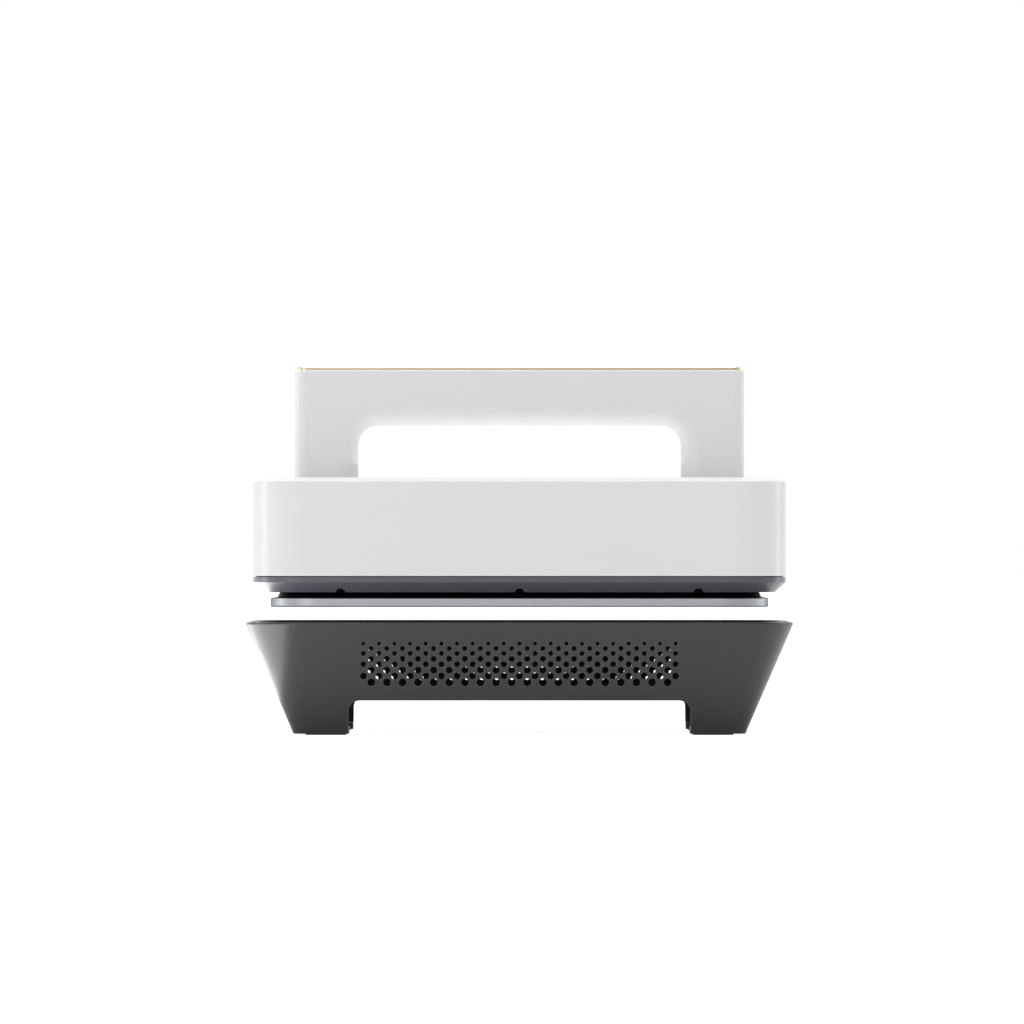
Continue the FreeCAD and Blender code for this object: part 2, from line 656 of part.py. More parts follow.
def make_rest_bumpers():
    """Silicone blocks under the rim whose tops slope like the housing's chamfer."""
    body = new_body("rest_bumpers")
    sketch = new_sketch(body, "YZ_Plane", "bumper_x")
    wall = "(rim_width / 2 - wall_across - (rim_height - ({0})) * tan(wall_taper * 1 deg))"
    slope = "(bevel_in / (bevel_top - housing_bottom))"
    bevel = "(body_width / 2 + seat_gap - (bevel_top - seat_drop - ({0})) * " + slope + ")"
    upper, lower = "rim_height - bumper_sink", "housing_bottom - seat_drop - bumper_rest"
    base = "rim_height - bumper_sink - bumper_drop"
    draw_polygon(sketch, [
        (bevel.format(upper), upper),
        (bevel.format(lower), lower),
        (bevel.format(lower), base),
        (wall.format(base), base),
        (wall.format(upper), upper),
    ])
    block = pad(body, sketch, "bumper_length", both=True)
    across = body.newObject("PartDesign::Mirrored", "Across")
    across.Originals = [block]
    across.MirrorPlane = (origin_part(body, "YZ_Plane"), [""])
    body.Tip = across
    doc.recompute()
    pair = doc.addObject("Part::Mirroring", "bumper_pair")
    pair.Source = body
    pair.Normal = Vector(0, 1, 0)
    nodes.remove(body)
    body.Label = "bumpers_back"
    group("rest_bumpers", [body, pair])


# ---------------------------------------------------------------- heater
def make_heating_element():
    half_x, half_y = value("element_half_x"), value("element_half_y")
    leg_x, leg_y = value("element_leg_x"), value("element_leg_y")
    level = value("core_top")
    outline = [(-leg_x, leg_y), (-leg_x, half_y), (-half_x, half_y), (-half_x, -half_y),
               (half_x, -half_y), (half_x, half_y), (leg_x, half_y), (leg_x, leg_y)]
    corners = [Vector(x, y, level) for x, y in outline]
    bends = [value("element_bend")] * 6
    return keep(tube("heating_element", corners, bends, value("element_radius")), "heating_element")


def make_heater_plate(element):
    body = doc.addObject("PartDesign::Body", "heater_plate_blank")
    flange = new_sketch(body, "XY_Plane", "plate_bottom")
    draw_rounded(flange, "plate_length", "plate_width", "plate_corner")
    pad(body, flange, "plate_top - plate_bottom")
    round_edges(body, level_at("plate_top"), "plate_round")
    round_edges(body, level_at("plate_bottom"), "plate_bevel", kind="Chamfer")
    core = new_sketch(body, "XY_Plane", "plate_top - step_overlap")
    draw_rounded(core, "core_length", "core_width", "core_corner")
    pad(body, core, "core_top - plate_top + step_overlap")
    threads = new_sketch(body, "XY_Plane", "core_top")
    for side_x in (-1, 1):
        for side_y in (-1, 1):
            draw_circle(threads, f"{side_x} * standoff_x", f"{side_y} * standoff_y", "shank_radius")
    pocket(body, threads, "plate_thread")
    # the element lies half sunk in the thick middle
    plate = doc.addObject("Part::Cut", "heater_plate")
    plate.Base = body
    plate.Tool = element
    keep(plate, "heater_plate")


def make_element_terminals():
    body = new_body("element_terminals")
    sleeve = new_sketch(body, "XZ_Plane", "-1 * element_leg_y")
    draw_circle(sleeve, "-1 * element_leg_x", "core_top + bush_rise", "bush_radius")
    bush = pad(body, sleeve, "bush_length")
    blade = new_sketch(body, "XZ_Plane", "-1 * element_leg_y + bush_length")
    draw_rectangle(blade, "-1 * element_leg_x - tab_half", "-1 * element_leg_x + tab_half",
                   "core_top + bush_rise - tab_sheet / 2", "core_top + bush_rise + tab_sheet / 2")
    tab = pad(body, blade, "tab_length")
    repeat(body, [bush, tab], "2 * element_leg_x", 2)


def make_collar():
    body = new_body("insulating_collar")
    low = new_sketch(body, "XY_Plane", "plate_top")
    draw_rounded(low, "collar_length + 2 * collar_flare", "collar_width + 2 * collar_flare",
                 "collar_corner + collar_flare")
    high = new_sketch(body, "XY_Plane", "housing_bottom")
    draw_rounded(high, "collar_length", "collar_width", "collar_corner")
    loft(body, [low, high])
    spigot = new_sketch(body, "XY_Plane", "housing_bottom")
    draw_rounded(spigot, "collar_length - spigot_less_x", "collar_width - spigot_less_y",
                 "spigot_corner")
    pad(body, spigot, "spigot_height")
    opening = new_sketch(body, "XY_Plane", "plate_top")
    draw_rounded(opening, "core_length + neck_room", "core_width + neck_room", "neck_corner")
    pocket(body, opening, both=True)


# ---------------------------------------------------------------- housing and body
def make_lower_housing():
    body = new_body("lower_housing")
    low = new_sketch(body, "XY_Plane", "housing_bottom")
    draw_rounded(low, "body_length - 2 * bevel_in", "body_width - 2 * bevel_in",
                 "body_corner - bevel_in")
    high = new_sketch(body, "XY_Plane", "bevel_top")
    draw_rounded(high, "body_length", "body_width", "body_corner")
    loft(body, [low, high])
    band = new_sketch(body, "XY_Plane", "bevel_top")
    draw_rounded(band, "body_length", "body_width", "body_corner")
    pad(body, band, "seam_bottom - bevel_top")
    seam = new_sketch(body, "XY_Plane", "seam_bottom")
    draw_rounded(seam, "body_length - 2 * seam_depth", "body_width - 2 * seam_depth",
                 "body_corner - seam_depth")
    pad(body, seam, "body_bottom - seam_bottom")
    hollow = new_sketch(body, "XY_Plane", "body_bottom")
    draw_rounded(hollow, "body_length - 2 * housing_wall", "body_width - 2 * housing_wall",
                 "body_corner - housing_wall")
    pocket(body, hollow, "body_bottom - housing_bottom - housing_floor")
    opening = new_sketch(body, "XY_Plane", "housing_bottom")
    draw_rounded(opening, "collar_length - spigot_less_x", "collar_width - spigot_less_y",
                 "spigot_corner")
    pocket(body, opening, both=True)
    heads = new_sketch(body, "XY_Plane", "housing_bottom")
    shanks = new_sketch(body, "XY_Plane", "housing_bottom")
    for side_x in (-1, 0, 1):
        for side_y in (-1, 1):
            draw_circle(heads, f"{side_x} * screw_x", f"{side_y} * screw_y", "pocket_radius")
            draw_circle(shanks, f"{side_x} * screw_x", f"{side_y} * screw_y", "shank_radius")
    pocket(body, heads, "pocket_depth", up=True)
    pocket(body, shanks, both=True)
    threads = new_sketch(body, "XY_Plane", "housing_bottom + housing_floor")
    for side_x in (-1, 1):
        for side_y in (-1, 1):
            draw_circle(threads, f"{side_x} * rivet_x", f"{side_y} * (shield_width / 2 + rivet_out)",
                        "rivet_radius")
    pocket(body, threads, "rivet_sink")


def make_body_shell():
    body = new_body("body_shell")
    outer = new_sketch(body, "XY_Plane", "body_bottom")
    draw_rounded(outer, "body_length", "body_width", "body_corner")
    pad(body, outer, "crown_bottom - body_bottom")
    low = new_sketch(body, "XY_Plane", "crown_bottom")
    draw_rounded(low, "body_length", "body_width", "body_corner")
    high = new_sketch(body, "XY_Plane", "body_top")
    draw_rounded(high, "body_length - 2 * crown_in", "body_width - 2 * crown_in",
                 "body_corner - crown_in")
    loft(body, [low, high])
    round_edges(body, level_at("crown_bottom"), "crown_round")
    hollow = new_sketch(body, "XY_Plane", "body_bottom")
    draw_rounded(hollow, "body_length - 2 * body_wall", "body_width - 2 * body_wall",
                 "body_corner - body_wall")
    pocket(body, hollow, "roof_under - body_bottom", up=True)
    bosses = new_sketch(body, "XY_Plane", "body_bottom")
    threads = new_sketch(body, "XY_Plane", "body_bottom")
    for side_x in (-1, 0, 1):
        for side_y in (-1, 1):
            draw_circle(bosses, f"{side_x} * screw_x", f"{side_y} * screw_y", "boss_radius")
            draw_circle(threads, f"{side_x} * screw_x", f"{side_y} * screw_y", "shank_radius")
    pad(body, bosses, "roof_under - body_bottom + step_overlap")
    pocket(body, threads, "boss_thread", up=True)
    board_posts = new_sketch(body, "XY_Plane", "power_board_z + board_sheet")
    board_threads = new_sketch(body, "XY_Plane", "power_board_z + board_sheet")
    for side_x in (-1, 1):
        for side_y in (-1, 1):
            x = f"{side_x} * (power_board_x - board_inset)"
            y = f"{side_y} * (power_board_y - board_inset)"
            draw_circle(board_posts, x, y, "standoff_radius")
            draw_circle(board_threads, x, y, "shank_radius")
    pad(body, board_posts, "roof_under - power_board_z - board_sheet + step_overlap")
    pocket(body, board_threads, "board_thread", up=True)
    # four handle screws, and the way for the handle's cable in the left post
    roof = new_sketch(body, "XY_Plane", "roof_under")
    for side_x in (-1, 1):
        for side_y in (-1, 1):
            draw_circle(roof, f"{side_x} * post_center", f"{side_y} * post_screw_y", "shank_radius")
    draw_circle(roof, "-1 * post_center", "0", "cable_way")
    pocket(body, roof, both=True)
    inlet = new_sketch(body, "XZ_Plane", "-1 * body_width / 2")
    draw_rounded(inlet, "inlet_length", "inlet_tall", "inlet_corner", "inlet_x", "inlet_z")
    for side in (-1, 1):
        draw_circle(inlet, f"inlet_x + {side} * inlet_screw_x", "inlet_z", "shank_radius")
    pocket(body, inlet, "2 * body_wall", up=True, both=True)


# ---------------------------------------------------------------- handle
def make_handle_shell():
    body = new_body("handle_shell")
    front = new_sketch(body, "XZ_Plane")
    draw_rectangle(front, "-1 * handle_length / 2", "handle_length / 2", "body_top", "handle_top")
    pad(body, front, "handle_width", both=True)
    round_edges(body, is_upright_corner, "handle_corner")
    finger = new_sketch(body, "XZ_Plane")
    draw_rounded(finger, "2 * opening_half", "2 * (grip_under - body_top)", "opening_corner",
                 "0", "body_top")
    pocket(body, finger, both=True)
    round_edges(body, is_opening_edge, "grip_round")
    round_edges(body, level_at("handle_top"), "handle_edge")
    hollow = new_sketch(body, "XY_Plane", "handle_top")
    draw_rounded(hollow, "handle_length - 2 * handle_wall", "handle_width - 2 * handle_wall",
                 "handle_corner - handle_wall")
    pocket(body, hollow, "handle_top - handle_floor")
    posts = new_sketch(body, "XY_Plane", "handle_floor")
    for side in (-1, 1):
        middle = f"{side} * (handle_length / 2 - handle_wall - post_hollow_x / 2)"
        draw_rounded(posts, "post_hollow_x", "post_hollow_y", "post_hollow_corner", middle)
    pocket(body, posts, "handle_floor - post_floor")
    ways = new_sketch(body, "XY_Plane", "post_floor")
    for side_x in (-1, 1):
        for side_y in (-1, 1):
            draw_circle(ways, f"{side_x} * post_center", f"{side_y} * post_screw_y", "shank_radius")
    draw_circle(ways, "-1 * post_center", "0", "cable_way")
    pocket(body, ways, both=True)
    pillars = new_sketch(body, "XY_Plane", "handle_floor - step_overlap")
    threads = new_sketch(body, "XY_Plane", "board_top - board_sheet")
    for side_x in (-1, 1):
        for side_y in (-1, 1):
            x, y = f"{side_x} * board_screw_x", f"{side_y} * board_screw_y"
            draw_circle(pillars, x, y, "pillar_radius")
            draw_circle(threads, x, y, "shank_radius")
    pad(body, pillars, "board_top - board_sheet - handle_floor + step_overlap")
    pocket(body, threads, "pillar_thread")


def is_upright_corner(edge):
    box = edge.BoundBox
    upright = box.ZLength > value("handle_top - body_top") - 1
    return upright and abs(abs(box.Center.x) - value("handle_length / 2")) < 1e-3


def is_opening_edge(edge):
    """Outline of the finger opening on the front and back faces."""
    box = edge.BoundBox
    on_face = abs(abs(box.YMin) - value("handle_width / 2")) < 1e-3 and box.YLength < 1e-3
    inside = max(abs(box.XMin), abs(box.XMax)) < value("opening_half") + 1e-3
    return on_face and inside and box.ZMax < value("grip_under") + 1e-3


def make_top_plate():
    body = new_body("handle_top_plate")
    outer = new_sketch(body, "XY_Plane", "handle_top")
    draw_rounded(outer, "trim_length", "trim_width", "trim_corner")
    pad(body, outer, "trim_top - handle_top")
    round_edges(body, level_at("trim_top"), "trim_bevel", kind="Chamfer")
    holes = new_sketch(body, "XY_Plane", "trim_top")
    draw_rounded(holes, "window_length", "window_width", "window_corner")
    for place in ("button_near", "button_far"):
        for side in (-1, 1):
            draw_circle(holes, f"{side} * {place}", "0", "button_radius + button_gap")
    pocket(body, holes, both=True)


def make_display_window():
    body = new_body("display_window")
    pane = new_sketch(body, "XY_Plane", "handle_top")
    draw_rounded(pane, "window_length", "window_width", "window_corner")
    pad(body, pane, "trim_top - handle_top - window_sink")


def make_button(label, x):
    """Cap through the top plate, a flange that keeps it in, and a stem over its switch."""
    body = new_body(label)
    flange = new_sketch(body, "XY_Plane", "handle_top - flange_drop")
    draw_circle(flange, x, "0", "button_radius + flange_rim")
    pad(body, flange, "flange_sheet", down=True)
    cap = new_sketch(body, "XY_Plane", "handle_top - flange_drop - button_overlap")
    draw_circle(cap, x, "0", "button_radius")
    pad(body, cap, "trim_top - window_sink - handle_top + flange_drop + button_overlap")
    round_edges(body, level_at("trim_top - window_sink"), "cap_round")
    under = "handle_top - flange_drop - flange_sheet + button_overlap"
    stem = new_sketch(body, "XY_Plane", under)
    draw_circle(stem, x, "0", "stem_radius")
    pad(body, stem, f"{under} - button_foot", down=True)


def make_control_electronics():
    board = new_body("control_board")
    outline = new_sketch(board, "XY_Plane", "board_top")
    draw_rounded(outline, "board_length", "board_width", "board_corner")
    pad(board, outline, "board_sheet", down=True)
    holes = new_sketch(board, "XY_Plane", "board_top")
    for side_x in (-1, 1):
        for side_y in (-1, 1):
            draw_circle(holes, f"{side_x} * board_screw_x", f"{side_y} * board_screw_y",
                        "shank_radius")
    pocket(board, holes, both=True)
    screws("board_screws", "board_screw_x", "board_screw_y", "board_top",
           "board_sheet + pillar_thread - head_height")

    display = new_body("display_module")
    block = new_sketch(display, "XY_Plane", "board_top")
    draw_rounded(block, "window_length - display_less_x", "window_width - display_less_y",
                 "board_corner / 2")
    pad(display, block, "handle_top - board_top - display_gap")

    switches = new_body("button_switches")
    for place in ("button_near", "button_far"):
        for side in (-1, 1):
            base = new_sketch(switches, "XY_Plane", "board_top")
            x = f"{side} * {place}"
            draw_rectangle(base, f"{x} - switch_half", f"{x} + switch_half",
                           "-1 * switch_half", "switch_half")
            pad(switches, base, "switch_case")
            plunger = new_sketch(switches, "XY_Plane", "board_top + switch_case")
            draw_circle(plunger, x, "0", "plunger_radius")
            pad(switches, plunger, "switch_top - board_top - switch_case")


# ---------------------------------------------------------------- inside the body
def make_plate_stack():
    """What lies between the heater plate and the electronics."""
    corners = [(side_x, side_y) for side_x in (-1, 1) for side_y in (-1, 1)]

    standoffs = new_body("plate_standoffs")
    column = new_sketch(standoffs, "XY_Plane", "core_top")
    for side_x, side_y in corners:
        x, y = f"{side_x} * standoff_x", f"{side_y} * standoff_y"
        draw_circle(column, x, y, "standoff_radius")
        draw_circle(column, x, y, "shank_radius")
    pad(standoffs, column, "shield_top - shield_sheet - core_top")

    floor = "housing_bottom + housing_floor"
    above_floor = "shield_top - housing_bottom - housing_floor"
    rivet_y = "(shield_width / 2 + rivet_out)"
    shield = new_body("heat_shield")
    outer = new_sketch(shield, "XY_Plane", floor)
    draw_rounded(outer, "shield_length", "shield_width", "shield_corner")
    pad(shield, outer, above_floor)
    flange = new_sketch(shield, "XY_Plane", floor)
    draw_rounded(flange, "shield_length + 2 * shield_lip", "shield_width + 2 * shield_lip",
                 "lip_corner")
    pad(shield, flange, "shield_sheet")
    inner = new_sketch(shield, "XY_Plane", floor)
    draw_rounded(inner, "shield_length - 2 * shield_sheet", "shield_width - 2 * shield_sheet",
                 "shield_corner - shield_sheet")
    pocket(shield, inner, f"{above_floor} - shield_sheet", up=True)
    holes = new_sketch(shield, "XY_Plane", "shield_top")
    for side_x, side_y in corners:
        draw_circle(holes, f"{side_x} * standoff_x", f"{side_y} * standoff_y", "shank_radius")
        draw_circle(holes, f"{side_x} * rivet_x", f"{side_y} * {rivet_y}", "rivet_radius")
    for side in (-1, 1):
        draw_circle(holes, f"{side} * element_leg_x", "element_leg_y - lead_inset", "lead_hole")
    pocket(shield, holes, both=True)

    screws("plate_screws", "standoff_x", "standoff_y", "shield_top",
           "shield_top - core_top + plate_thread - step_overlap")
    rivets = new_body("shield_rivets")
    seat = f"{floor} + shield_sheet"
    rivet = new_sketch(rivets, "XY_Plane", seat)
    draw_circle(rivet, "-1 * rivet_x", f"-1 * {rivet_y}", "rivet_head")
    top = pad(rivets, rivet, "rivet_height")
    pin = new_sketch(rivets, "XY_Plane", seat)
    draw_circle(pin, "-1 * rivet_x", f"-1 * {rivet_y}", "rivet_radius")
    stem = pad(rivets, pin, "shield_sheet + rivet_sink", down=True)
    repeat(rivets, [top, stem], "2 * rivet_x", 2, f"2 * {rivet_y}", 2)

    blanket = new_body("insulation_blanket")
    outline = new_sketch(blanket, "XY_Plane", "core_top + blanket_gap")
    draw_rounded(outline, "core_length + blanket_more", "core_width + blanket_more",
                 "blanket_corner")
    draw_rounded(outline, "window_x", "window_y", "window_round", "0", "window_shift")
    for side_x, side_y in corners:
        draw_circle(outline, f"{side_x} * standoff_x", f"{side_y} * standoff_y", "standoff_room")
    pad(blanket, outline, "shield_top - shield_sheet - core_top - blanket_gap - blanket_free")


def make_sensors():
    thermostat = new_body("thermostat")
    can = new_sketch(thermostat, "XY_Plane", "core_top")
    draw_circle(can, "thermostat_x", "thermostat_y", "thermostat_radius")
    pad(thermostat, can, "thermostat_can")
    cap = new_sketch(thermostat, "XY_Plane", "core_top + thermostat_can")
    draw_circle(cap, "thermostat_x", "thermostat_y", "thermostat_neck")
    pad(thermostat, cap, "thermostat_cap")
    tabs = new_sketch(thermostat, "XY_Plane", "core_top + tab_rise")
    draw_rectangle(tabs, "thermostat_x - thermostat_tab", "thermostat_x + thermostat_tab",
                   "thermostat_y - tab_half", "thermostat_y + tab_half")
    pad(thermostat, tabs, "tab_sheet")

    fuse = new_body("thermal_fuse")
    can = new_sketch(fuse, "YZ_Plane", "fuse_x")
    draw_circle(can, "fuse_y", "core_top + fuse_radius", "fuse_radius")
    pad(fuse, can, "fuse_length")
    lead = new_sketch(fuse, "YZ_Plane", "fuse_x - lead_reach")
    draw_circle(lead, "fuse_y", "core_top + fuse_radius", "fuse_lead")
    pad(fuse, lead, "fuse_length + 2 * lead_reach")

    sensor = new_body("temperature_sensor")
    lug = new_sketch(sensor, "XY_Plane", "core_top")
    draw_circle(lug, "0", "sensor_y", "lug_radius")
    pad(sensor, lug, "lug_sheet")
    bead = new_sketch(sensor, "YZ_Plane", "-1 * bead_length / 2")
    draw_circle(bead, "sensor_y", "core_top + bead_rise", "bead_radius")
    pad(sensor, bead, "bead_length")


def make_power_electronics():
    board = new_body("power_board")
    outline = new_sketch(board, "XY_Plane", "power_board_z")
    draw_rounded(outline, "2 * power_board_x", "2 * power_board_y", "power_board_corner")
    pad(board, outline, "board_sheet")
    screw_x, screw_y = "(power_board_x - board_inset)", "(power_board_y - board_inset)"
    holes = new_sketch(board, "XY_Plane", "power_board_z")
    for side_x in (-1, 1):
        for side_y in (-1, 1):
            draw_circle(holes, f"{side_x} * {screw_x}", f"{side_y} * {screw_y}", "shank_radius")
    pocket(board, holes, both=True)
    screws("power_board_screws", screw_x, screw_y, "power_board_z",
           "board_sheet + board_thread - head_height", point_down=False)

    # parts on top of the board: relay, small transformer, three capacitors
    face = "power_board_z + board_sheet"
    relay = new_body("power_relay")
    case = new_sketch(relay, "XY_Plane", face)
    draw_rounded(case, "relay_length", "relay_width", "case_corner", "relay_x", "relay_y")
    pad(relay, case, "relay_height")
    transformer = new_body("small_transformer")
    place = ("transformer_x", "transformer_y")
    core = new_sketch(transformer, "XY_Plane", face)
    draw_rounded(core, "core_long", "core_wide", "core_edge", *place)
    pad(transformer, core, "core_tall")
    winding = new_sketch(transformer, "XY_Plane", f"{face} + winding_rise")
    draw_rounded(winding, "winding_long", "winding_wide", "winding_edge", *place)
    pad(transformer, winding, "winding_tall")
    capacitors = new_body("capacitors")
    can = new_sketch(capacitors, "XY_Plane", face)
    draw_circle(can, "capacitor_x", "capacitor_y", "capacitor_radius")
    first = pad(capacitors, can, "capacitor_height")
    repeat(capacitors, [first], "2 * capacitor_pitch", 3)


def draw_contacts(sketch):
    """Two outer contacts below the inlet's middle and the earth contact above it."""
    for side, rise in ((-1, -1), (1, -1), (0, 1)):
        x = f"inlet_x + {side} * pin_side"
        z = f"inlet_z + {rise} * pin_offset"
        draw_rectangle(sketch, f"{x} - pin_half_x", f"{x} + pin_half_x",
                       f"{z} - pin_half_z", f"{z} + pin_half_z")


def make_inlet():
    body = new_body("power_inlet")
    face = "-1 * body_width / 2"
    flange = new_sketch(body, "XZ_Plane", face)
    draw_rounded(flange, "flange_length", "flange_tall", "flange_corner", "inlet_x", "inlet_z")
    pad(body, flange, "flange_thick", down=True)
    case = new_sketch(body, "XZ_Plane", face)
    draw_rounded(case, "inlet_length", "inlet_tall", "inlet_corner", "inlet_x", "inlet_z")
    pad(body, case, "inlet_depth")
    mouth = new_sketch(body, "XZ_Plane", f"{face} - flange_thick")
    left, right = "inlet_x - mouth_half_x", "inlet_x + mouth_half_x"
    low, high = "inlet_z - mouth_half_z", "inlet_z + mouth_half_z"
    draw_polygon(mouth, [
        (left, low), (right, low),
        (right, f"{high} - mouth_slant"), (f"{right} - mouth_slant", high),
        (f"{left} + mouth_slant", high), (left, f"{high} - mouth_slant"),
    ])
    pocket(body, mouth, "mouth_depth", up=True)
    holes = new_sketch(body, "XZ_Plane", face)
    for side in (-1, 1):
        draw_circle(holes, f"inlet_x + {side} * inlet_screw_x", "inlet_z", "shank_radius")
    draw_contacts(holes)
    pocket(body, holes, both=True)

    pins = new_body("inlet_pins")
    blades = new_sketch(pins, "XZ_Plane", f"{face} + pin_start")
    draw_contacts(blades)
    pad(pins, blades, "pin_length")

    fixings = new_body("inlet_screws")
    seat = f"{face} - flange_thick"
    head = new_sketch(fixings, "XZ_Plane", seat)
    draw_circle(head, "inlet_x - inlet_screw_x", "inlet_z", "head_radius")
    top = pad(fixings, head, "inlet_head", down=True)
    shank = new_sketch(fixings, "XZ_Plane", seat)
    draw_circle(shank, "inlet_x - inlet_screw_x", "inlet_z", "shank_radius")
    stem = pad(fixings, shank, "board_thread")
    repeat(fixings, [top, stem], "2 * inlet_screw_x", 2)


def make_wiring():
    """Insulated leads and the handle's cable, along straight runs and tangent arcs."""
    board = value("power_board_z")
    board_face = value("power_board_z + board_sheet")
    bend = value("cable_bend")
    leads = []
    for side in (-1, 1):
        x, y = side * value("element_leg_x"), value("element_leg_y - lead_inset")
        corners = [Vector(x, y, value("core_top + bush_rise + tab_sheet / 2")), Vector(x, y, board)]
        leads.append(tube("heater_lead", corners, [], value("heater_lead")))
    group("heater_leads", leads)

    leads = []
    inner_end = value("body_width / 2 - mains_start")
    turn = inner_end - value("mains_straight")
    end_y = value("power_board_y - mains_end_y")
    for side in (-1, 1):
        x, z = value("inlet_x") + side * value("pin_side"), value("inlet_z - pin_offset")
        end_x = side * value("mains_end_x")
        corners = [Vector(x, inner_end, z), Vector(x, turn, z),
                   Vector(end_x, end_y, board_face + value("mains_rise")),
                   Vector(end_x, end_y, board_face)]
        leads.append(tube("mains_lead", corners, [bend, bend], value("mains_lead")))
    group("mains_leads", leads)

    post = -value("post_center")
    start_x, end_x = -value("power_board_x - cable_start"), value("cable_end_x")
    high, low = value("board_top - board_sheet"), board_face + value("cable_rise")
    grip = value("handle_floor + cable_grip")
    corners = [Vector(start_x, 0, board_face), Vector(start_x, 0, low), Vector(post, 0, low),
               Vector(post, 0, grip), Vector(end_x, 0, grip), Vector(end_x, 0, high)]
    bends = [bend, bend, bend, value("cable_end_bend")]
    keep(tube("control_cable", corners, bends, value("cable_radius")), "control_cable")


def make_all():
    make_stand_frame()
    make_foot_pads()
    make_heat_deflector()
    screws("deflector_screws", "post_x", "post_y", "tray_bottom + tray_sheet", "post_thread")
    make_rest_bumpers()
    make_heater_plate(make_heating_element())
    make_element_terminals()
    make_collar()
    make_lower_housing()
    screws("housing_screws", "screw_x", "screw_y", "housing_bottom + pocket_depth", "boss_thread",
           x_count=3, point_down=False)
    make_body_shell()
    make_handle_shell()
    make_top_plate()
    make_display_window()
    make_button("power_button", "-1 * button_far")
    make_button("mode_button", "-1 * button_near")
    make_button("minus_button", "button_near")
    make_button("plus_button", "button_far")
    make_control_electronics()
    make_plate_stack()
    make_sensors()
    make_power_electronics()
    make_inlet()
    screws("handle_screws", "post_center", "post_screw_y", "roof_under",
           "post_floor - roof_under + step_overlap", point_down=False)
    make_wiring()


make_all()
doc.recompute()
for item in doc.Objects:
    if "Invalid" in item.State or "Error" in item.State:
        raise RuntimeError(f"{item.Name} ({item.Label}) failed: {item.State}")
os.makedirs("parts", exist_ok=True)
for piece in nodes:
    shape = piece.Shape
    if shape.isNull() or not shape.isValid():
        raise RuntimeError(f"{piece.Label} has no valid shape")
    shape.exportStep(f"parts/{piece.Label}.step")
    box = shape.BoundBox
    print(f"{piece.Label}: {len(shape.Solids)} solids, {shape.Volume / 1000:.2f} cm3, "
          f"x {box.XMin:.1f} {box.XMax:.1f} y {box.YMin:.1f} {box.YMax:.1f} "
          f"z {box.ZMin:.1f} {box.ZMax:.1f}")
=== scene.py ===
import json
import math

import bpy
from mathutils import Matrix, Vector


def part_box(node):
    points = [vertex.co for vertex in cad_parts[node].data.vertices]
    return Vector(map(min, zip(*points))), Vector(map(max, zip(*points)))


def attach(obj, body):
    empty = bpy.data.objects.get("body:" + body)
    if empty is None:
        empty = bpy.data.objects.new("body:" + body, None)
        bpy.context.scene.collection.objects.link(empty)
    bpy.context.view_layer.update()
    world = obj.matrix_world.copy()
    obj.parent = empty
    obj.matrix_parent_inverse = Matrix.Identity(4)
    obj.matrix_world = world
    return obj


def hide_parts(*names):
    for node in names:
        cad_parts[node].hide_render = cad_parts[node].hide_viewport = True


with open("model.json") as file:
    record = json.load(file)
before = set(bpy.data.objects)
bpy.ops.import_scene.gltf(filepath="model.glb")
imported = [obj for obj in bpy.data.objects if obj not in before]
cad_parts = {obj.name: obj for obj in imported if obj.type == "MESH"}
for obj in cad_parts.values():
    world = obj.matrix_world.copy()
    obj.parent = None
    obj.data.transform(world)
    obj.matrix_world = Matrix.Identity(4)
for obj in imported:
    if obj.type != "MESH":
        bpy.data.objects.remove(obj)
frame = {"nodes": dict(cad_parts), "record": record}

print("heat press: frame loaded")
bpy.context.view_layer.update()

# Camera and studio

view = {
    "height": 0.1116,         # level with the white body, so neither top nor underside shows
    "distance": 7.2635,
    "lens": 411.3,
    "shift": (-0.0073, 0.0396),
    "clip": (0.1, 80),
}

studio = {
    "backdrop": 1.0,          # what the camera sees behind the object
    "surround": 0.60,         # mean strength of the white room as a light
    "lean": (-0.03, 0.40, 0.12),    # how much brighter the room is to the right, behind and above
    "floor": {"tone": 0.82, "rough": 0.85, "glow": 0.22, "seenGlow": 0.85, "side": 60},
    "boxes": {
        "keyLeft": {"at": (-2.2, 0.25, 0.45), "size": (0.28, 1.6), "power": 9.5,
                    "aim": (0, 0, 0.11)},
        "frontLeft": {"at": (-1.1, -2.6, 0.9), "size": (1.3, 1.0), "power": 13,
                      "aim": (0, 0, 0.12)},
        "rightEdge": {"at": (2.4, 0.9, 0.5), "size": (0.25, 1.4), "power": 7,
                      "aim": (0, 0, 0.12)},
        "overhead": {"at": (0, -0.15, 2.0), "size": (1.5, 1.1), "power": 20,
                     "aim": (0, -0.15, 0)},
    },
    "cards": {
        "lowLeft": {"at": (-0.27, -0.05, 0.003), "size": (0.16, 0.5), "power": 0.9,
                    "lights": ("stand_frame", "lower_housing")},
        "underGrip": {"at": (0, -0.005, 0.166), "size": (0.20, 0.06), "power": 0.018,
                      "lights": ("handle_shell",)},
    },
}


def addCamera():
    data = bpy.data.cameras.new("viewCamera")
    camera = bpy.data.objects.new("viewCamera", data)
    bpy.context.scene.collection.objects.link(camera)
    camera.location = (0, -view["distance"], view["height"])
    camera.rotation_euler = (math.radians(90), 0, 0)
    data.lens = view["lens"]
    data.shift_x, data.shift_y = view["shift"]
    data.clip_start, data.clip_end = view["clip"]
    bpy.context.scene.camera = camera


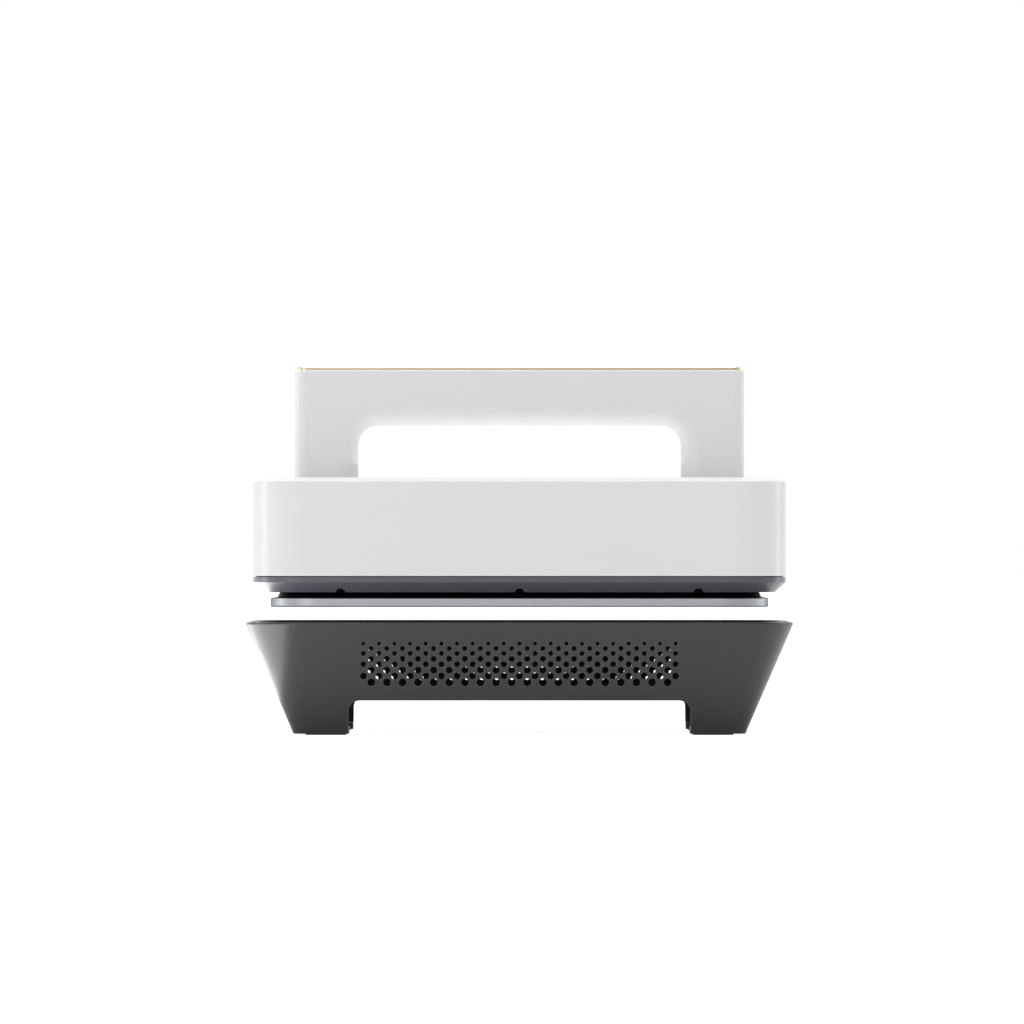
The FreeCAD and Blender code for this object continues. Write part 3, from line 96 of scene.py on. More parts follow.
def addRoom():
    # White room: pure white to the camera, and a gentler gradient as a light.
    world = bpy.data.worlds.new("studioRoom")
    bpy.context.scene.world = world
    world.use_nodes = True
    nodes, links = world.node_tree.nodes, world.node_tree.links
    nodes.clear()
    place = nodes.new("ShaderNodeTexCoord")
    lean = nodes.new("ShaderNodeVectorMath")
    lean.operation = "DOT_PRODUCT"
    lean.inputs[1].default_value = studio["lean"]
    links.new(place.outputs["Generated"], lean.inputs[0])
    level = nodes.new("ShaderNodeMath")
    level.operation = "ADD"
    level.inputs[1].default_value = studio["surround"]
    links.new(lean.outputs["Value"], level.inputs[0])
    felt = nodes.new("ShaderNodeBackground")
    links.new(level.outputs[0], felt.inputs["Strength"])
    seen = nodes.new("ShaderNodeBackground")
    seen.inputs["Strength"].default_value = studio["backdrop"]
    for background in (seen, felt):
        background.inputs["Color"].default_value = (1, 1, 1, 1)
    rays = nodes.new("ShaderNodeLightPath")
    both = nodes.new("ShaderNodeMixShader")
    links.new(rays.outputs["Is Camera Ray"], both.inputs[0])
    links.new(felt.outputs[0], both.inputs[1])
    links.new(seen.outputs[0], both.inputs[2])
    out = nodes.new("ShaderNodeOutputWorld")
    links.new(both.outputs[0], out.inputs[0])


def softBox(name, at, size, power):
    data = bpy.data.lights.new(name, "AREA")
    data.shape = "RECTANGLE"
    data.size, data.size_y = size
    data.energy = power
    light = bpy.data.objects.new(name, data)
    bpy.context.scene.collection.objects.link(light)
    light.location = at
    return light


def addSoftBoxes():
    for name, box in studio["boxes"].items():
        light = softBox(name, box["at"], box["size"], box["power"])
        toObject = Vector(box["aim"]) - Vector(box["at"])
        light.rotation_euler = toObject.to_track_quat("-Z", "Y").to_euler()


def addCards():
    # Small reflector cards that face up, unseen, and light only the pieces named.
    for name, card in studio["cards"].items():
        light = softBox(name, card["at"], card["size"], card["power"])
        light.rotation_euler = (math.radians(180), 0, 0)
        light.visible_camera = False
        lit = bpy.data.collections.new("litBy_" + name)
        for node in card["lights"]:
            lit.objects.link(frame["nodes"][node])
        light.light_linking.receiver_collection = lit


def addFloor():
    settings = studio["floor"]
    bpy.ops.mesh.primitive_plane_add(size=settings["side"], location=(0, 0, 0))
    floor = bpy.context.object
    floor.name = "floor"
    paper = bpy.data.materials.new("paleFloor")
    paper.use_nodes = True
    tree = paper.node_tree
    shader = tree.nodes["Principled BSDF"]
    shader.inputs["Base Color"].default_value = (settings["tone"],) * 3 + (1,)
    shader.inputs["Roughness"].default_value = settings["rough"]
    shader.inputs["Emission Color"].default_value = (1, 1, 1, 1)
    rays = tree.nodes.new("ShaderNodeLightPath")
    glow = tree.nodes.new("ShaderNodeMapRange")
    glow.inputs["To Min"].default_value = settings["glow"]
    glow.inputs["To Max"].default_value = settings["seenGlow"]
    tree.links.new(rays.outputs["Is Camera Ray"], glow.inputs["Value"])
    tree.links.new(glow.outputs["Result"], shader.inputs["Emission Strength"])
    floor.data.materials.append(paper)


def addStudio():
    addRoom()
    addSoftBoxes()
    addCards()
    addFloor()
    bpy.context.scene.view_settings.view_transform = "Standard"
    bpy.context.scene.view_settings.look = "None"


addCamera()
addStudio()
print("heat press: studio ready")

# Finishes: groups shared by several materials


def newGroup(name, inputs, outputs):
    group = bpy.data.node_groups.new(name, "ShaderNodeTree")
    for title, kind, value in inputs:
        socket = group.interface.new_socket(title, in_out="INPUT", socket_type=kind)
        if value is not None:
            socket.default_value = value
    for title, kind in outputs:
        group.interface.new_socket(title, in_out="OUTPUT", socket_type=kind)
    source = group.nodes.new("NodeGroupInput")
    result = group.nodes.new("NodeGroupOutput")
    return group, source, result


def mapRange(tree, value, low, high, fromLow=0.3, fromHigh=0.7):
    node = tree.nodes.new("ShaderNodeMapRange")
    tree.links.new(value, node.inputs["Value"])
    node.inputs["From Min"].default_value = fromLow
    node.inputs["From Max"].default_value = fromHigh
    for name, end in (("To Min", low), ("To Max", high)):
        if hasattr(end, "is_linked"):
            tree.links.new(end, node.inputs[name])
        else:
            node.inputs[name].default_value = end
    return node.outputs["Result"]


def noise(tree, vector, scale, detail=2.0):
    node = tree.nodes.new("ShaderNodeTexNoise")
    tree.links.new(vector, node.inputs["Vector"])
    if hasattr(scale, "is_linked"):
        tree.links.new(scale, node.inputs["Scale"])
    else:
        node.inputs["Scale"].default_value = scale
    node.inputs["Detail"].default_value = detail
    return node.outputs["Fac"]


def mixColor(tree, factor, first, second):
    node = tree.nodes.new("ShaderNodeMix")
    node.data_type = "RGBA"
    tree.links.new(factor, node.inputs["Factor"])
    tree.links.new(first, node.inputs["A"])
    tree.links.new(second, node.inputs["B"])
    return node.outputs["Result"]


surfaceOutputs = [("Color", "NodeSocketColor"), ("Roughness", "NodeSocketFloat"),
                  ("Height", "NodeSocketFloat")]
gloss = {"perMetre": 90.0, "detail": 4.0}
edgeTurn = 0.97       # cosine above which a soft normal still counts as flat


def makeGrainGroup():
    # Moulded or sprayed surface: fine grain, slow tone drift and uneven gloss.
    group, source, result = newGroup(
        "mouldedGrain",
        [("Vector", "NodeSocketVector", None), ("Tone A", "NodeSocketColor", None),
         ("Tone B", "NodeSocketColor", None), ("Grain per metre", "NodeSocketFloat", 3000.0),
         ("Drift per metre", "NodeSocketFloat", 14.0), ("Rough low", "NodeSocketFloat", 0.3),
         ("Rough high", "NodeSocketFloat", 0.4)],
        surfaceOutputs)
    drift = noise(group, source.outputs["Vector"], source.outputs["Drift per metre"], 3.0)
    grain = noise(group, source.outputs["Vector"], source.outputs["Grain per metre"], 2.0)
    patches = noise(group, source.outputs["Vector"], gloss["perMetre"], gloss["detail"])
    tone = mapRange(group, drift, 0.0, 1.0)
    group.links.new(mixColor(group, tone, source.outputs["Tone A"], source.outputs["Tone B"]),
                    result.inputs["Color"])
    rough = mapRange(group, patches, source.outputs["Rough low"], source.outputs["Rough high"])
    group.links.new(rough, result.inputs["Roughness"])
    group.links.new(grain, result.inputs["Height"])
    return group


def makeBrushedGroup():
    # Fine parallel scratches: the vector is squeezed across the brushing.
    group, source, result = newGroup(
        "brushedLines",
        [("Vector", "NodeSocketVector", None), ("Tone A", "NodeSocketColor", None),
         ("Tone B", "NodeSocketColor", None),
         ("Lines per metre", "NodeSocketVector", (60, 4000, 4000)),
         ("Rough low", "NodeSocketFloat", 0.25), ("Rough high", "NodeSocketFloat", 0.4)],
        surfaceOutputs)
    stretch = group.nodes.new("ShaderNodeVectorMath")
    stretch.operation = "MULTIPLY"
    group.links.new(source.outputs["Vector"], stretch.inputs[0])
    group.links.new(source.outputs["Lines per metre"], stretch.inputs[1])
    lines = noise(group, stretch.outputs["Vector"], 1.0, 3.0)
    tone = mapRange(group, lines, 0.0, 1.0)
    group.links.new(mixColor(group, tone, source.outputs["Tone A"], source.outputs["Tone B"]),
                    result.inputs["Color"])
    rough = mapRange(group, lines, source.outputs["Rough low"], source.outputs["Rough high"])
    group.links.new(rough, result.inputs["Roughness"])
    group.links.new(lines, result.inputs["Height"])
    return group


def makeEdgeGroup():
    # Edges rounded a little: a mask along them, used to paint a highlight on the edges, and the
    # normal of a soft edge.
    group, source, result = newGroup(
        "softEdgesPaintedHighlight",
        [("Radius", "NodeSocketFloat", 0.0006), ("Gain", "NodeSocketFloat", 4.0)],
        [("Mask", "NodeSocketFloat"), ("Normal", "NodeSocketVector")])
    soft = group.nodes.new("ShaderNodeBevel")
    soft.samples = 6
    group.links.new(source.outputs["Radius"], soft.inputs["Radius"])
    flat = group.nodes.new("ShaderNodeNewGeometry")
    same = group.nodes.new("ShaderNodeVectorMath")
    same.operation = "DOT_PRODUCT"
    group.links.new(soft.outputs["Normal"], same.inputs[0])
    group.links.new(flat.outputs["Normal"], same.inputs[1])
    turned = group.nodes.new("ShaderNodeMath")
    turned.operation = "SUBTRACT"
    turned.inputs[0].default_value = edgeTurn
    group.links.new(same.outputs["Value"], turned.inputs[1])
    mask = group.nodes.new("ShaderNodeMath")
    mask.operation = "MULTIPLY"
    mask.use_clamp = True
    group.links.new(turned.outputs[0], mask.inputs[0])
    group.links.new(source.outputs["Gain"], mask.inputs[1])
    both = group.nodes.new("ShaderNodeMix")
    both.data_type = "VECTOR"
    group.links.new(mask.outputs[0], both.inputs["Factor"])
    group.links.new(flat.outputs["Normal"], both.inputs[4])
    group.links.new(soft.outputs["Normal"], both.inputs[5])
    group.links.new(mask.outputs[0], result.inputs["Mask"])
    group.links.new(both.outputs[1], result.inputs["Normal"])
    return group


grainGroup = makeGrainGroup()
edgeGroup = makeEdgeGroup()
brushedGroup = makeBrushedGroup()


def rgba(color, share=1.0):
    return tuple(channel * share for channel in color) + (1,)


def finishMaterial(name, settings, group):
    # A Principled material whose tone, gloss and bump come from one of the groups.
    material = bpy.data.materials.new(name)
    material.use_nodes = True
    tree = material.node_tree
    shader = tree.nodes["Principled BSDF"]
    place = tree.nodes.new("ShaderNodeTexCoord")
    effect = tree.nodes.new("ShaderNodeGroup")
    effect.node_tree = group
    tree.links.new(place.outputs["Object"], effect.inputs["Vector"])
    spread = settings.get("spread", 0.06)
    effect.inputs["Tone A"].default_value = rgba(settings["color"], 1 - spread)
    effect.inputs["Tone B"].default_value = rgba(settings["color"], 1 + spread)
    effect.inputs["Rough low"].default_value = settings["rough"][0]
    effect.inputs["Rough high"].default_value = settings["rough"][1]
    for title in ("Grain per metre", "Drift per metre", "Lines per metre"):
        if title in settings:
            effect.inputs[title].default_value = settings[title]
    bump = tree.nodes.new("ShaderNodeBump")
    bump.inputs["Strength"].default_value = settings.get("bump", 0.15)
    bump.inputs["Distance"].default_value = settings.get("bumpDepth", 0.0001)
    tree.links.new(effect.outputs["Height"], bump.inputs["Height"])
    paint = effect.outputs["Color"]
    # Along the edges the colour is mixed towards the lighter edge colour: a painted highlight.
    if "edge" in settings:
        edges = tree.nodes.new("ShaderNodeGroup")
        edges.node_tree = edgeGroup
        edges.inputs["Radius"].default_value = settings["edge"]["radius"]
        edges.inputs["Gain"].default_value = settings["edge"]["gain"]
        tree.links.new(edges.outputs["Normal"], bump.inputs["Normal"])
        paintedEdgeHighlight = tree.nodes.new("ShaderNodeMix")
        paintedEdgeHighlight.data_type = "RGBA"
        paintedEdgeHighlight.inputs["B"].default_value = rgba(settings["edge"]["color"])
        tree.links.new(edges.outputs["Mask"], paintedEdgeHighlight.inputs["Factor"])
        tree.links.new(paint, paintedEdgeHighlight.inputs["A"])
        paint = paintedEdgeHighlight.outputs["Result"]
    tree.links.new(paint, shader.inputs["Base Color"])
    tree.links.new(effect.outputs["Roughness"], shader.inputs["Roughness"])
    tree.links.new(bump.outputs["Normal"], shader.inputs["Normal"])
    shader.inputs["Metallic"].default_value = settings.get("metallic", 0.0)
    for socket, value in settings.get("sockets", {}).items():
        shader.inputs[socket].default_value = value
    return material


# In both tables, each edge entry gives the soft-edge radius and gain, and a lighter colour painted
# along the edges as a highlight.
grained = {
    "shell_white": {"color": (0.77, 0.77, 0.77), "spread": 0.008, "rough": (0.28, 0.33),
                    "Grain per metre": 2600.0, "bump": 0.10,
                    "edge": {"radius": 0.0006, "gain": 8.0, "color": (0.82, 0.82, 0.82)}},
    "button_white": {"color": (0.78, 0.78, 0.78), "spread": 0.01, "rough": (0.30, 0.36),
                     "Grain per metre": 2600.0, "bump": 0.06},
    "housing_dark": {"color": (0.070, 0.073, 0.088), "spread": 0.05, "rough": (0.34, 0.42),
                     "metallic": 0.1, "Grain per metre": 5200.0, "bump": 0.12,
                     "edge": {"radius": 0.0005, "gain": 8.0, "color": (0.13, 0.135, 0.155)},
                     "sockets": {"Sheen Weight": 0.2, "Sheen Roughness": 0.3, "Coat Weight": 0.8,
                                 "Coat Roughness": 0.25}},
    # Black collar, its colour pushed near zero and its specular damped: partly the part's own
    # black, partly painted shade in the neck; also used for the hole sleeves and seam strip below.
    "collar_black": {"color": (0.0008, 0.0012, 0.003), "spread": 0.2, "rough": (0.3, 0.4),
                     "bump": 0.1,
                     "sockets": {"Specular IOR Level": 0.05}},
    "stand_plastic": {"color": (0.030, 0.030, 0.0305), "spread": 0.03, "rough": (0.27, 0.33),
                      "Grain per metre": 1600.0, "bump": 0.05,
                      "edge": {"radius": 0.0007, "gain": 9.0, "color": (0.15, 0.15, 0.152)},
                      "sockets": {"Sheen Weight": 0.25, "Sheen Roughness": 0.35}},
    "foot_rubber": {"color": (0.020, 0.020, 0.021), "spread": 0.15, "rough": (0.65, 0.8),
                    "bump": 0.3},
    "silicone": {"color": (0.035, 0.035, 0.037), "spread": 0.1, "rough": (0.5, 0.6), "bump": 0.15},
    "window_dark": {"color": (0.008, 0.008, 0.010), "spread": 0.1, "rough": (0.05, 0.09),
                    "bump": 0.01},
    "segment_grey": {"color": (0.035, 0.036, 0.038), "spread": 0.1, "rough": (0.12, 0.2),
                     "bump": 0.02},
    "screw_black": {"color": (0.020, 0.020, 0.022), "spread": 0.2, "rough": (0.35, 0.5),
                    "metallic": 0.8, "bump": 0.15},
    "board_green": {"color": (0.025, 0.16, 0.07), "spread": 0.15, "rough": (0.3, 0.4), "bump": 0.1},
    "module_black": {"color": (0.022, 0.022, 0.024), "spread": 0.15, "rough": (0.4, 0.55),
                     "bump": 0.15},
    "ceramic_white": {"color": (0.78, 0.75, 0.68), "spread": 0.05, "rough": (0.35, 0.5),
                      "bump": 0.1},
    "fibre_blanket": {"color": (0.80, 0.77, 0.70), "spread": 0.1, "rough": (0.85, 0.95),
                      "Grain per metre": 900.0, "bump": 0.6, "bumpDepth": 0.0006},
    "wire_sleeve": {"color": (0.45, 0.08, 0.05), "spread": 0.1, "rough": (0.45, 0.55), "bump": 0.1},
}
brushed = {
    "trim_gold": {"color": (0.76, 0.67, 0.48), "spread": 0.06, "rough": (0.26, 0.36),
                  "metallic": 1.0,
                  "Lines per metre": (50, 5000, 5000), "bump": 0.1,
                  "edge": {"radius": 0.0003, "gain": 8.0, "color": (0.90, 0.84, 0.68)}},
    "plate_aluminium": {"color": (0.47, 0.49, 0.52), "spread": 0.06, "rough": (0.38, 0.48),
                        "metallic": 1.0, "Lines per metre": (70, 70, 4500), "bump": 0.1,
                        "edge": {"radius": 0.0004, "gain": 6.0, "color": (0.52, 0.54, 0.57)},
                        "sockets": {"Specular Tint": (0.35, 0.35, 0.35, 1)}},
    "sheet_steel": {"color": (0.42, 0.43, 0.44), "spread": 0.1, "rough": (0.35, 0.5),
                    "metallic": 1.0,
                    "Lines per metre": (40, 3000, 3000), "bump": 0.15},
    "screw_steel": {"color": (0.52, 0.53, 0.55), "spread": 0.1, "rough": (0.28, 0.4),
                    "metallic": 1.0,
                    "Lines per metre": (2500, 2500, 200), "bump": 0.1},
    "element_sheath": {"color": (0.22, 0.19, 0.16), "spread": 0.25, "rough": (0.45, 0.6),
                       "metallic": 0.9, "Lines per metre": (500, 500, 2500), "bump": 0.2},
    "contact_brass": {"color": (0.70, 0.53, 0.26), "spread": 0.1, "rough": (0.25, 0.4),
                      "metallic": 1.0, "Lines per metre": (3000, 60, 3000), "bump": 0.1},
}
materials = {}
for slotName, settings in grained.items():
    materials[slotName] = finishMaterial(slotName, settings, grainGroup)
for slotName, settings in brushed.items():
    materials[slotName] = finishMaterial(slotName, settings, brushedGroup)
print("heat press: materials ready")


def dressCadNodes():
    # Every CAD node takes the finish of its own material slot.
    for part in frame["record"]["subparts"]:
        node = frame["nodes"][part["node"]]
        node.data.materials.clear()
        node.data.materials.append(materials[part["material_slot"]])


dressCadNodes()
print("heat press: CAD nodes dressed")

# Modelling helpers

modelling = {
    "touch": 1e-6,            # points nearer than this are one point, or at one height
    "upright": 0.9,           # share of an edge's run that must go up
    "facing": 0.9,
    "profile": 0.5,
    "smooth": 30,
    "cornerSteps": 6,
}


def deselectAll():
    if bpy.context.object and bpy.context.object.mode != "OBJECT":
        bpy.ops.object.mode_set(mode="OBJECT")
    bpy.ops.object.select_all(action="DESELECT")


def startPiece(name, addPrimitive, **settings):
    deselectAll()
    addPrimitive(**settings)
    piece = bpy.context.object
    piece.name = name
    piece.data.name = name
    return piece


def settle(piece):
    # Put the object's place, turn and scale into its mesh.
    deselectAll()
    piece.select_set(True)
    bpy.context.view_layer.objects.active = piece
    bpy.ops.object.transform_apply(location=True, rotation=True, scale=True)


def workOn(piece, chosen, work, kind="FACE"):
    # Edit mode with only the chosen faces or edges selected, then the work.
    deselectAll()
    piece.select_set(True)
    bpy.context.view_layer.objects.active = piece
    bpy.ops.object.mode_set(mode="EDIT")
    bpy.ops.mesh.select_mode(type=kind)
    bpy.ops.mesh.select_all(action="DESELECT")
    bpy.ops.object.mode_set(mode="OBJECT")
    mesh = piece.data
    if kind == "FACE":
        for face in mesh.polygons:
            face.select = chosen(face)
    else:
        for edge in mesh.edges:
            ends = [mesh.vertices[index].co for index in edge.vertices]
            edge.select = chosen(*ends)
    bpy.ops.object.mode_set(mode="EDIT")
    work()
    bpy.ops.object.mode_set(mode="OBJECT")


def everything(*ends):
    return True


def upright(first, second):
    run = second - first
    return abs(run.z) > modelling["upright"] * run.length


def atHeight(height):
    def test(first, second):
        return all(abs(end.z - height) < modelling["touch"] for end in (first, second))
    return test


def facing(direction, least=modelling["facing"]):
    aim = Vector(direction)

    def test(face):
        return face.normal.dot(aim) > least
    return test


def bevelEdges(piece, chosen, width, segments):
    def work():
        bpy.ops.mesh.bevel(offset=width, segments=segments, profile=modelling["profile"],
                           affect="EDGES", clamp_overlap=True)
    workOn(piece, chosen, work, kind="EDGE")


def closeUp(piece, angle=modelling["smooth"]):
    # Merge doubles, turn every face outwards and shade it smooth up to an angle.
    def work():
        bpy.ops.mesh.remove_doubles(threshold=modelling["touch"])
        bpy.ops.mesh.normals_make_consistent(inside=False)
    workOn(piece, everything, work)
    piece.select_set(True)
    bpy.ops.object.shade_smooth_by_angle(angle=math.radians(angle))


def copyPiece(piece, name, move):
    twin = piece.copy()
    twin.data = piece.data.copy()
    twin.name = name
    bpy.context.scene.collection.objects.link(twin)
    twin.location = Vector(move)
    settle(twin)
    return twin


def joinPieces(pieces, name):
    deselectAll()
    for piece in pieces:
        piece.select_set(True)
    bpy.context.view_layer.objects.active = pieces[0]
    if len(pieces) > 1:
        bpy.ops.object.join()
    pieces[0].name = name
    return pieces[0]


def finish(piece, material, body, stands=()):
    # Give the piece its finish, the body it rides on and the nodes it stands for.
    piece.data.materials.clear()
    piece.data.materials.append(material)
    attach(piece, body)
    if stands:
        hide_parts(*stands)
    return piece


def middle(node):
    low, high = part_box(node)
    return (low + high) / 2


def roundedBlock(name, centre, size, corner, segments=modelling["cornerSteps"]):
    # A block with rounded upright edges.
    piece = startPiece(name, bpy.ops.mesh.primitive_cube_add, size=1, location=centre)
    piece.scale = size
    settle(piece)
    if corner:
        bevelEdges(piece, upright, corner, segments)
    return piece


# Button caps: dished, with a soft shoulder and a printed sign

cap = {
    "radius": 0.0065,
    "height": 0.0022,
    "shoulder": 0.00045,
    "shoulderSteps": 4,
    "smooth": 40,
    "dish": 0.00028,
    "flange": (0.0080, 0.0012),
    "stem": 0.0020,
    "sides": 72,
    "level": 0.999,           # how nearly level a face is to count as top or bottom
    "steps": ((0.132, 0.25), (0.150, 0.35), (0.180, 0.25), (0.300, 0.15)),
}


def makeCap(node):
    low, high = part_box(node)
    centre = middle(node)
    piece = startPiece(node + "_cap", bpy.ops.mesh.primitive_cylinder_add, vertices=cap["sides"],
                       radius=cap["radius"], depth=cap["height"],
                       location=(centre.x, centre.y, high.z - cap["height"] / 2))
    settle(piece)
    bevelEdges(piece, atHeight(high.z), cap["shoulder"], cap["shoulderSteps"])

    def dishTop():
        for share, drop in cap["steps"]:
            bpy.ops.mesh.inset(thickness=cap["radius"] * share, depth=-cap["dish"] * drop)

    workOn(piece, facing((0, 0, 1), cap["level"]), dishTop)
    wide, thick = cap["flange"]
    floor = high.z - cap["height"]

    def flangeOut():
        bpy.ops.mesh.inset(thickness=wide - cap["radius"], depth=0, use_outset=True)

    def pushDown(distance):
        bpy.ops.mesh.extrude_region_move(TRANSFORM_OT_translate={"value": (0, 0, -distance)})

    def makeStem():
        pushDown(thick)
        bpy.ops.mesh.inset(thickness=wide - cap["stem"], depth=0)
        pushDown(floor - thick - low.z)

    workOn(piece, facing((0, 0, -1), cap["level"]), flangeOut)
    workOn(piece, facing((0, 0, -1), cap["level"]), makeStem)
    closeUp(piece, cap["smooth"])
    return finish(piece, materials["button_white"], node, stands=(node,))


sign = {
    "sunk": 0.00024,          # middle of the mark under the cap's rim
    "stroke": 0.0007,
    "reach": 0.0042,
    "ring": 0.0019,
    "gap": math.radians(70),
    "ringSteps": 40,
    "round": 0.48,            # corner as a share of a bar's lesser side
    "roundSteps": 4,
    "powerBar": (0.85, 1.1),  # place and length, in ring radii
    "modePitch": 0.72,        # in ring radii
    "modeShare": 0.8,         # size of its bars, as a share of a full one
    "thick": 0.0003,
}


def bar(name, centre, length, width):
    corner = min(length, width) * sign["round"]
    size = (length, width, sign["thick"])
    return roundedBlock(name, centre, size, corner, sign["roundSteps"])


def powerArc(name, centre):
    # A broken ring spun from a small square, open at the top.
    gap = sign["gap"]
    piece = startPiece(name, bpy.ops.mesh.primitive_plane_add, size=1,
                       location=centre + Vector((sign["ring"], 0, 0)),
                       rotation=(math.radians(90), 0, 0))
    piece.scale = (sign["stroke"], sign["thick"], 1)
    deselectAll()
    piece.select_set(True)
    bpy.context.view_layer.objects.active = piece
    bpy.ops.transform.rotate(value=gap / 2 - math.radians(90), orient_axis="Z",
                             center_override=centre)
    settle(piece)

    def sweep():
        bpy.ops.mesh.spin(steps=sign["ringSteps"], angle=math.radians(360) - gap,
                          center=centre, axis=(0, 0, 1))

    workOn(piece, everything, sweep)
    return piece


def makeSign(node, kind):
    centre = middle(node)
    centre.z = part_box(node)[1].z - sign["sunk"]
    name = node + "_sign"
    if kind == "power":
        up, tall = sign["powerBar"]
        upper = centre + Vector((0, sign["ring"] * up, 0))
        stroke = bar(name + "Bar", upper, sign["stroke"], sign["ring"] * tall)
        piece = joinPieces([powerArc(name, centre), stroke], name)
    elif kind == "mode":
        marks = []
        for step in (-1, 0, 1):
            place = centre + Vector((0, step * sign["ring"] * sign["modePitch"], 0))
            length = sign["reach"] * sign["modeShare"]
            marks.append(bar(f"{name}{step}", place, length, sign["stroke"] * sign["modeShare"]))
        piece = joinPieces(marks, name)
    else:
        marks = [bar(name, centre, sign["reach"], sign["stroke"])]
        if kind == "plus":
            marks.append(bar(name + "Up", centre, sign["stroke"], sign["reach"]))
        piece = joinPieces(marks, name)
    closeUp(piece)
    return finish(piece, materials["module_black"], node)


for node, kind in (("power_button", "power"), ("mode_button", "mode"),
                   ("minus_button", "minus"), ("plus_button", "plus")):
    makeCap(node)
    makeSign(node, kind)
print("heat press: buttons modelled")

# Display: a bevelled dark pane with unlit digit segments under its surface

display = {
    "corner": 0.0030,
    "cornerSteps": 8,
    "edgeSteps": 3,
    "point": 0.49,            # how far a segment's ends are drawn in, in strokes
    "edge": 0.00035,
    "digit": (0.0060, 0.0112),
    "stroke": 0.00095,
    "gap": 0.00035,
    "rise": 0.00004,
    "firstDigit": -0.0225,
    "pitch": 0.0085,
    "digits": (0, 1, 2, 3.3, 4.3, 5.3),
}


def makePane():
    low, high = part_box("display_window")
    piece = roundedBlock("displayPane", (low + high) / 2, high - low, display["corner"],
                         display["cornerSteps"])
    bevelEdges(piece, atHeight(high.z), display["edge"], display["edgeSteps"])
    closeUp(piece)
    return finish(piece, materials["window_dark"], "head",
                  stands=("display_window",))


def makeSegments():
    # Seven bars a digit; each bar is a block whose two ends are drawn to points.
    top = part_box("display_window")[1].z
    wide, tall = display["digit"]
    stroke = display["stroke"]
    along, upHalf = wide - display["gap"] * 2, tall / 2 - display["gap"] * 2
    layout = [(0, 1, False), (0, 0, False), (0, -1, False),
              (-1, 0.5, True), (1, 0.5, True), (-1, -0.5, True), (1, -0.5, True)]
    bars = []
    for place in display["digits"]:
        middleX = display["firstDigit"] + place * display["pitch"]
        for across, up, standing in layout:
            length, width = (stroke, upHalf) if standing else (along, stroke)
            size = (length, width, display["rise"] * 2)
            spot = Vector((middleX + across * wide / 2, up * tall / 2, top))
            bars.append(roundedBlock("segment", spot, size, stroke * display["point"], 1))
    piece = joinPieces(bars, "displaySegments")
    closeUp(piece)
    return finish(piece, materials["segment_grey"], "head")


makePane()
makeSegments()
print("heat press: display modelled")

# Lower housing: near-black sleeves in its screw holes and a near-black strip in the gap above it,
# both painted shade

well = {
    "radius": 0.00296,
    "wall": 0.00030,
    "at": (-0.1092, 0, 0.1092),
    "out": 0.1305,
    "depth": 0.0060,
    "sides": 40,
    "clear": 0.00006,
    "chamfer": (0.0061, 0.0065),     # the housing's: up its height, and in from its side
}


def makeScrewHoleShade():
    # Short near-black sleeves that paint the shade inside the screw holes, cut off along the
    # housing's chamfer.
    low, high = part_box("lower_housing")
    tall, inwards = well["chamfer"]
    chamfer = Vector((0, tall, -inwards)).normalized()
    edge = Vector((0, high.y - inwards - well["clear"], low.z))
    first = startPiece("screwWell", bpy.ops.mesh.primitive_cylinder_add, vertices=well["sides"],
                       radius=well["radius"], depth=well["depth"], end_fill_type="NOTHING",
                       location=(0, well["out"], low.z + well["depth"] / 2))
    settle(first)

    def thicken():
        bpy.ops.mesh.solidify(thickness=well["wall"])

    def cutChamfer():
        bpy.ops.mesh.bisect(plane_co=edge, plane_no=chamfer, use_fill=True, clear_outer=True)

    workOn(first, everything, thicken)
    workOn(first, everything, cutChamfer)
    closeUp(first)
    wells = [copyPiece(first, "screwWell", (x, 0, 0)) for x in well["at"] if x]
    wells.append(first)
    turned = []
    for piece in wells:
        twin = copyPiece(piece, "screwWell", (0, 0, 0))
        twin.rotation_euler = (0, 0, math.pi)
        settle(twin)
        turned.append(twin)
    piece = joinPieces(wells + turned, "screwHoleShade")
    return finish(piece, materials["collar_black"], "head")


seamStrip = {"inset": 0.0017, "width": 0.0012, "corner": 0.0283, "cornerSteps": 24, "thick": 0.0006,
          "level": 1e-7}


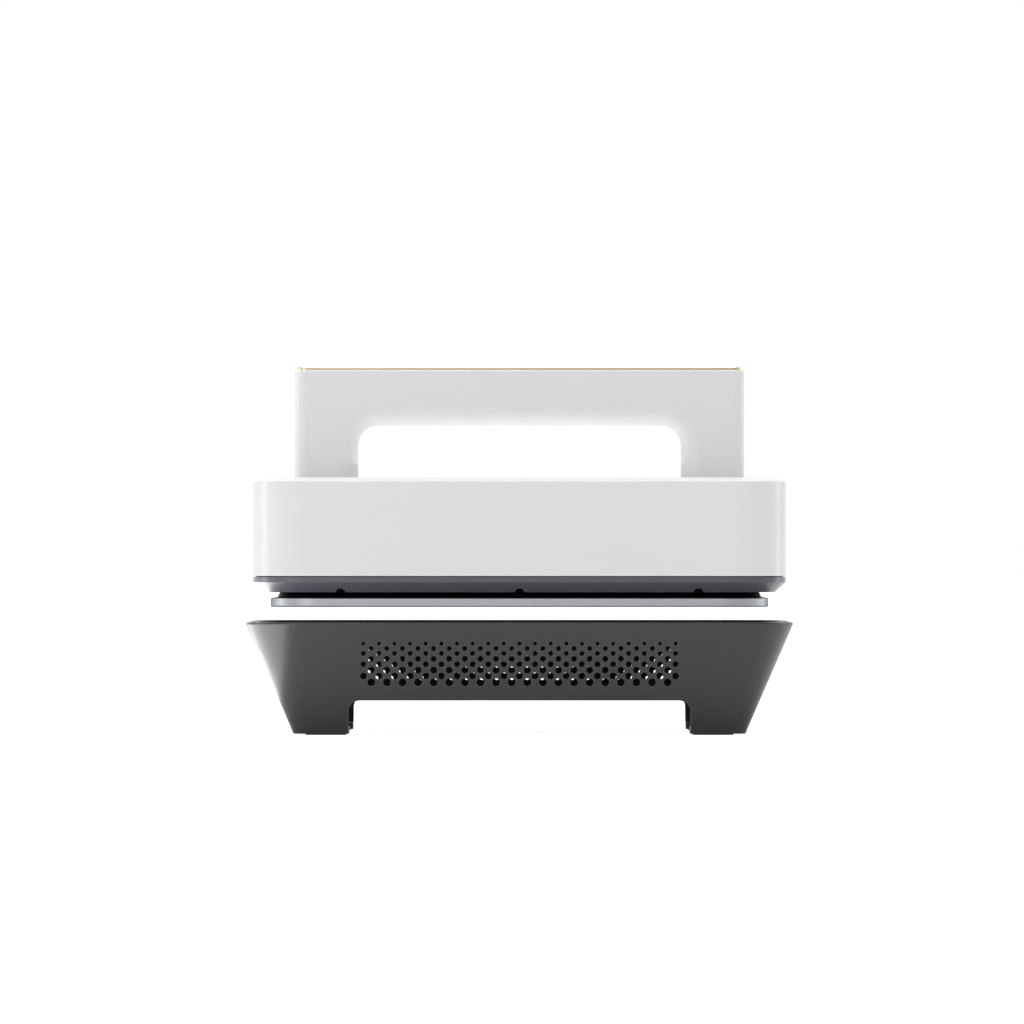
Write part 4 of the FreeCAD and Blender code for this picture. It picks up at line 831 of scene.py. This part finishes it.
def makeSeamShadeStrip():
    # A near-black strip set back in the gap between housing and body shell: painted shade in the
    # seam.
    low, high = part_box("body_shell")
    thick = seamStrip["thick"]
    size = Vector((high.x - low.x, high.y - low.y, thick)) - Vector((2, 2, 0)) * seamStrip["inset"]
    piece = roundedBlock("seamShadeStrip", (0, 0, low.z - thick / 2), size, seamStrip["corner"],
                         seamStrip["cornerSteps"])

    def hollow():
        bpy.ops.mesh.inset(thickness=seamStrip["width"], depth=0)
        bpy.ops.mesh.delete(type="FACE")

    workOn(piece, lambda face: abs(face.normal.z) > modelling["facing"], hollow)

    def bridge():
        bpy.ops.mesh.bridge_edge_loops()

    reach = Vector((size.x, size.y, 0)) / 2
    near = seamStrip["width"] * 0.5

    def innerRim(first, second):
        level = abs(first.z - second.z) < seamStrip["level"]
        inside = all(abs(end.x) < reach.x - near and abs(end.y) < reach.y - near
                     or onCorner(end) for end in (first, second))
        return level and inside

    def onCorner(end):
        centre = Vector((reach.x - seamStrip["corner"], reach.y - seamStrip["corner"]))
        away = Vector((abs(end.x), abs(end.y))) - centre
        return away.x > 0 and away.y > 0 and away.length < seamStrip["corner"] - near

    workOn(piece, innerRim, bridge, kind="EDGE")
    closeUp(piece)
    return finish(piece, materials["collar_black"], "head")


makeScrewHoleShade()
makeSeamShadeStrip()
print("heat press: housing details modelled")

# Foot pads: soft-edged rubber with one groove round the underside of each

foot = {"side": 0.025, "corner": 0.0040, "edge": 0.0004, "edgeSteps": 2, "land": 0.0013,
        "slope": 0.00012, "groove": 0.0006, "level": 0.999}


def makeFeet():
    low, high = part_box("foot_pads")
    side = foot["side"]
    size = Vector((side, side, high.z - low.z))
    place = Vector((low.x + side / 2, low.y + side / 2, (low.z + high.z) / 2))
    first = roundedBlock("footTread", place, size, foot["corner"])
    bevelEdges(first, atHeight(low.z), foot["edge"], foot["edgeSteps"])

    def groove():
        bpy.ops.mesh.inset(thickness=foot["land"], depth=0)
        bpy.ops.mesh.inset(thickness=foot["slope"], depth=-foot["groove"])
        bpy.ops.mesh.inset(thickness=foot["groove"], depth=0)
        bpy.ops.mesh.inset(thickness=foot["slope"], depth=foot["groove"])

    workOn(first, facing((0, 0, -1), foot["level"]), groove)
    closeUp(first)
    across, back = -2 * place.x, -2 * place.y
    feet = [first]
    for number, move in enumerate(((across, 0, 0), (0, back, 0), (across, back, 0)), start=2):
        feet.append(copyPiece(first, f"footTread{number}", move))
    piece = joinPieces(feet, "footTreads")
    return finish(piece, materials["foot_rubber"], "stand", stands=("foot_pads",))


makeFeet()
print("heat press: feet modelled")
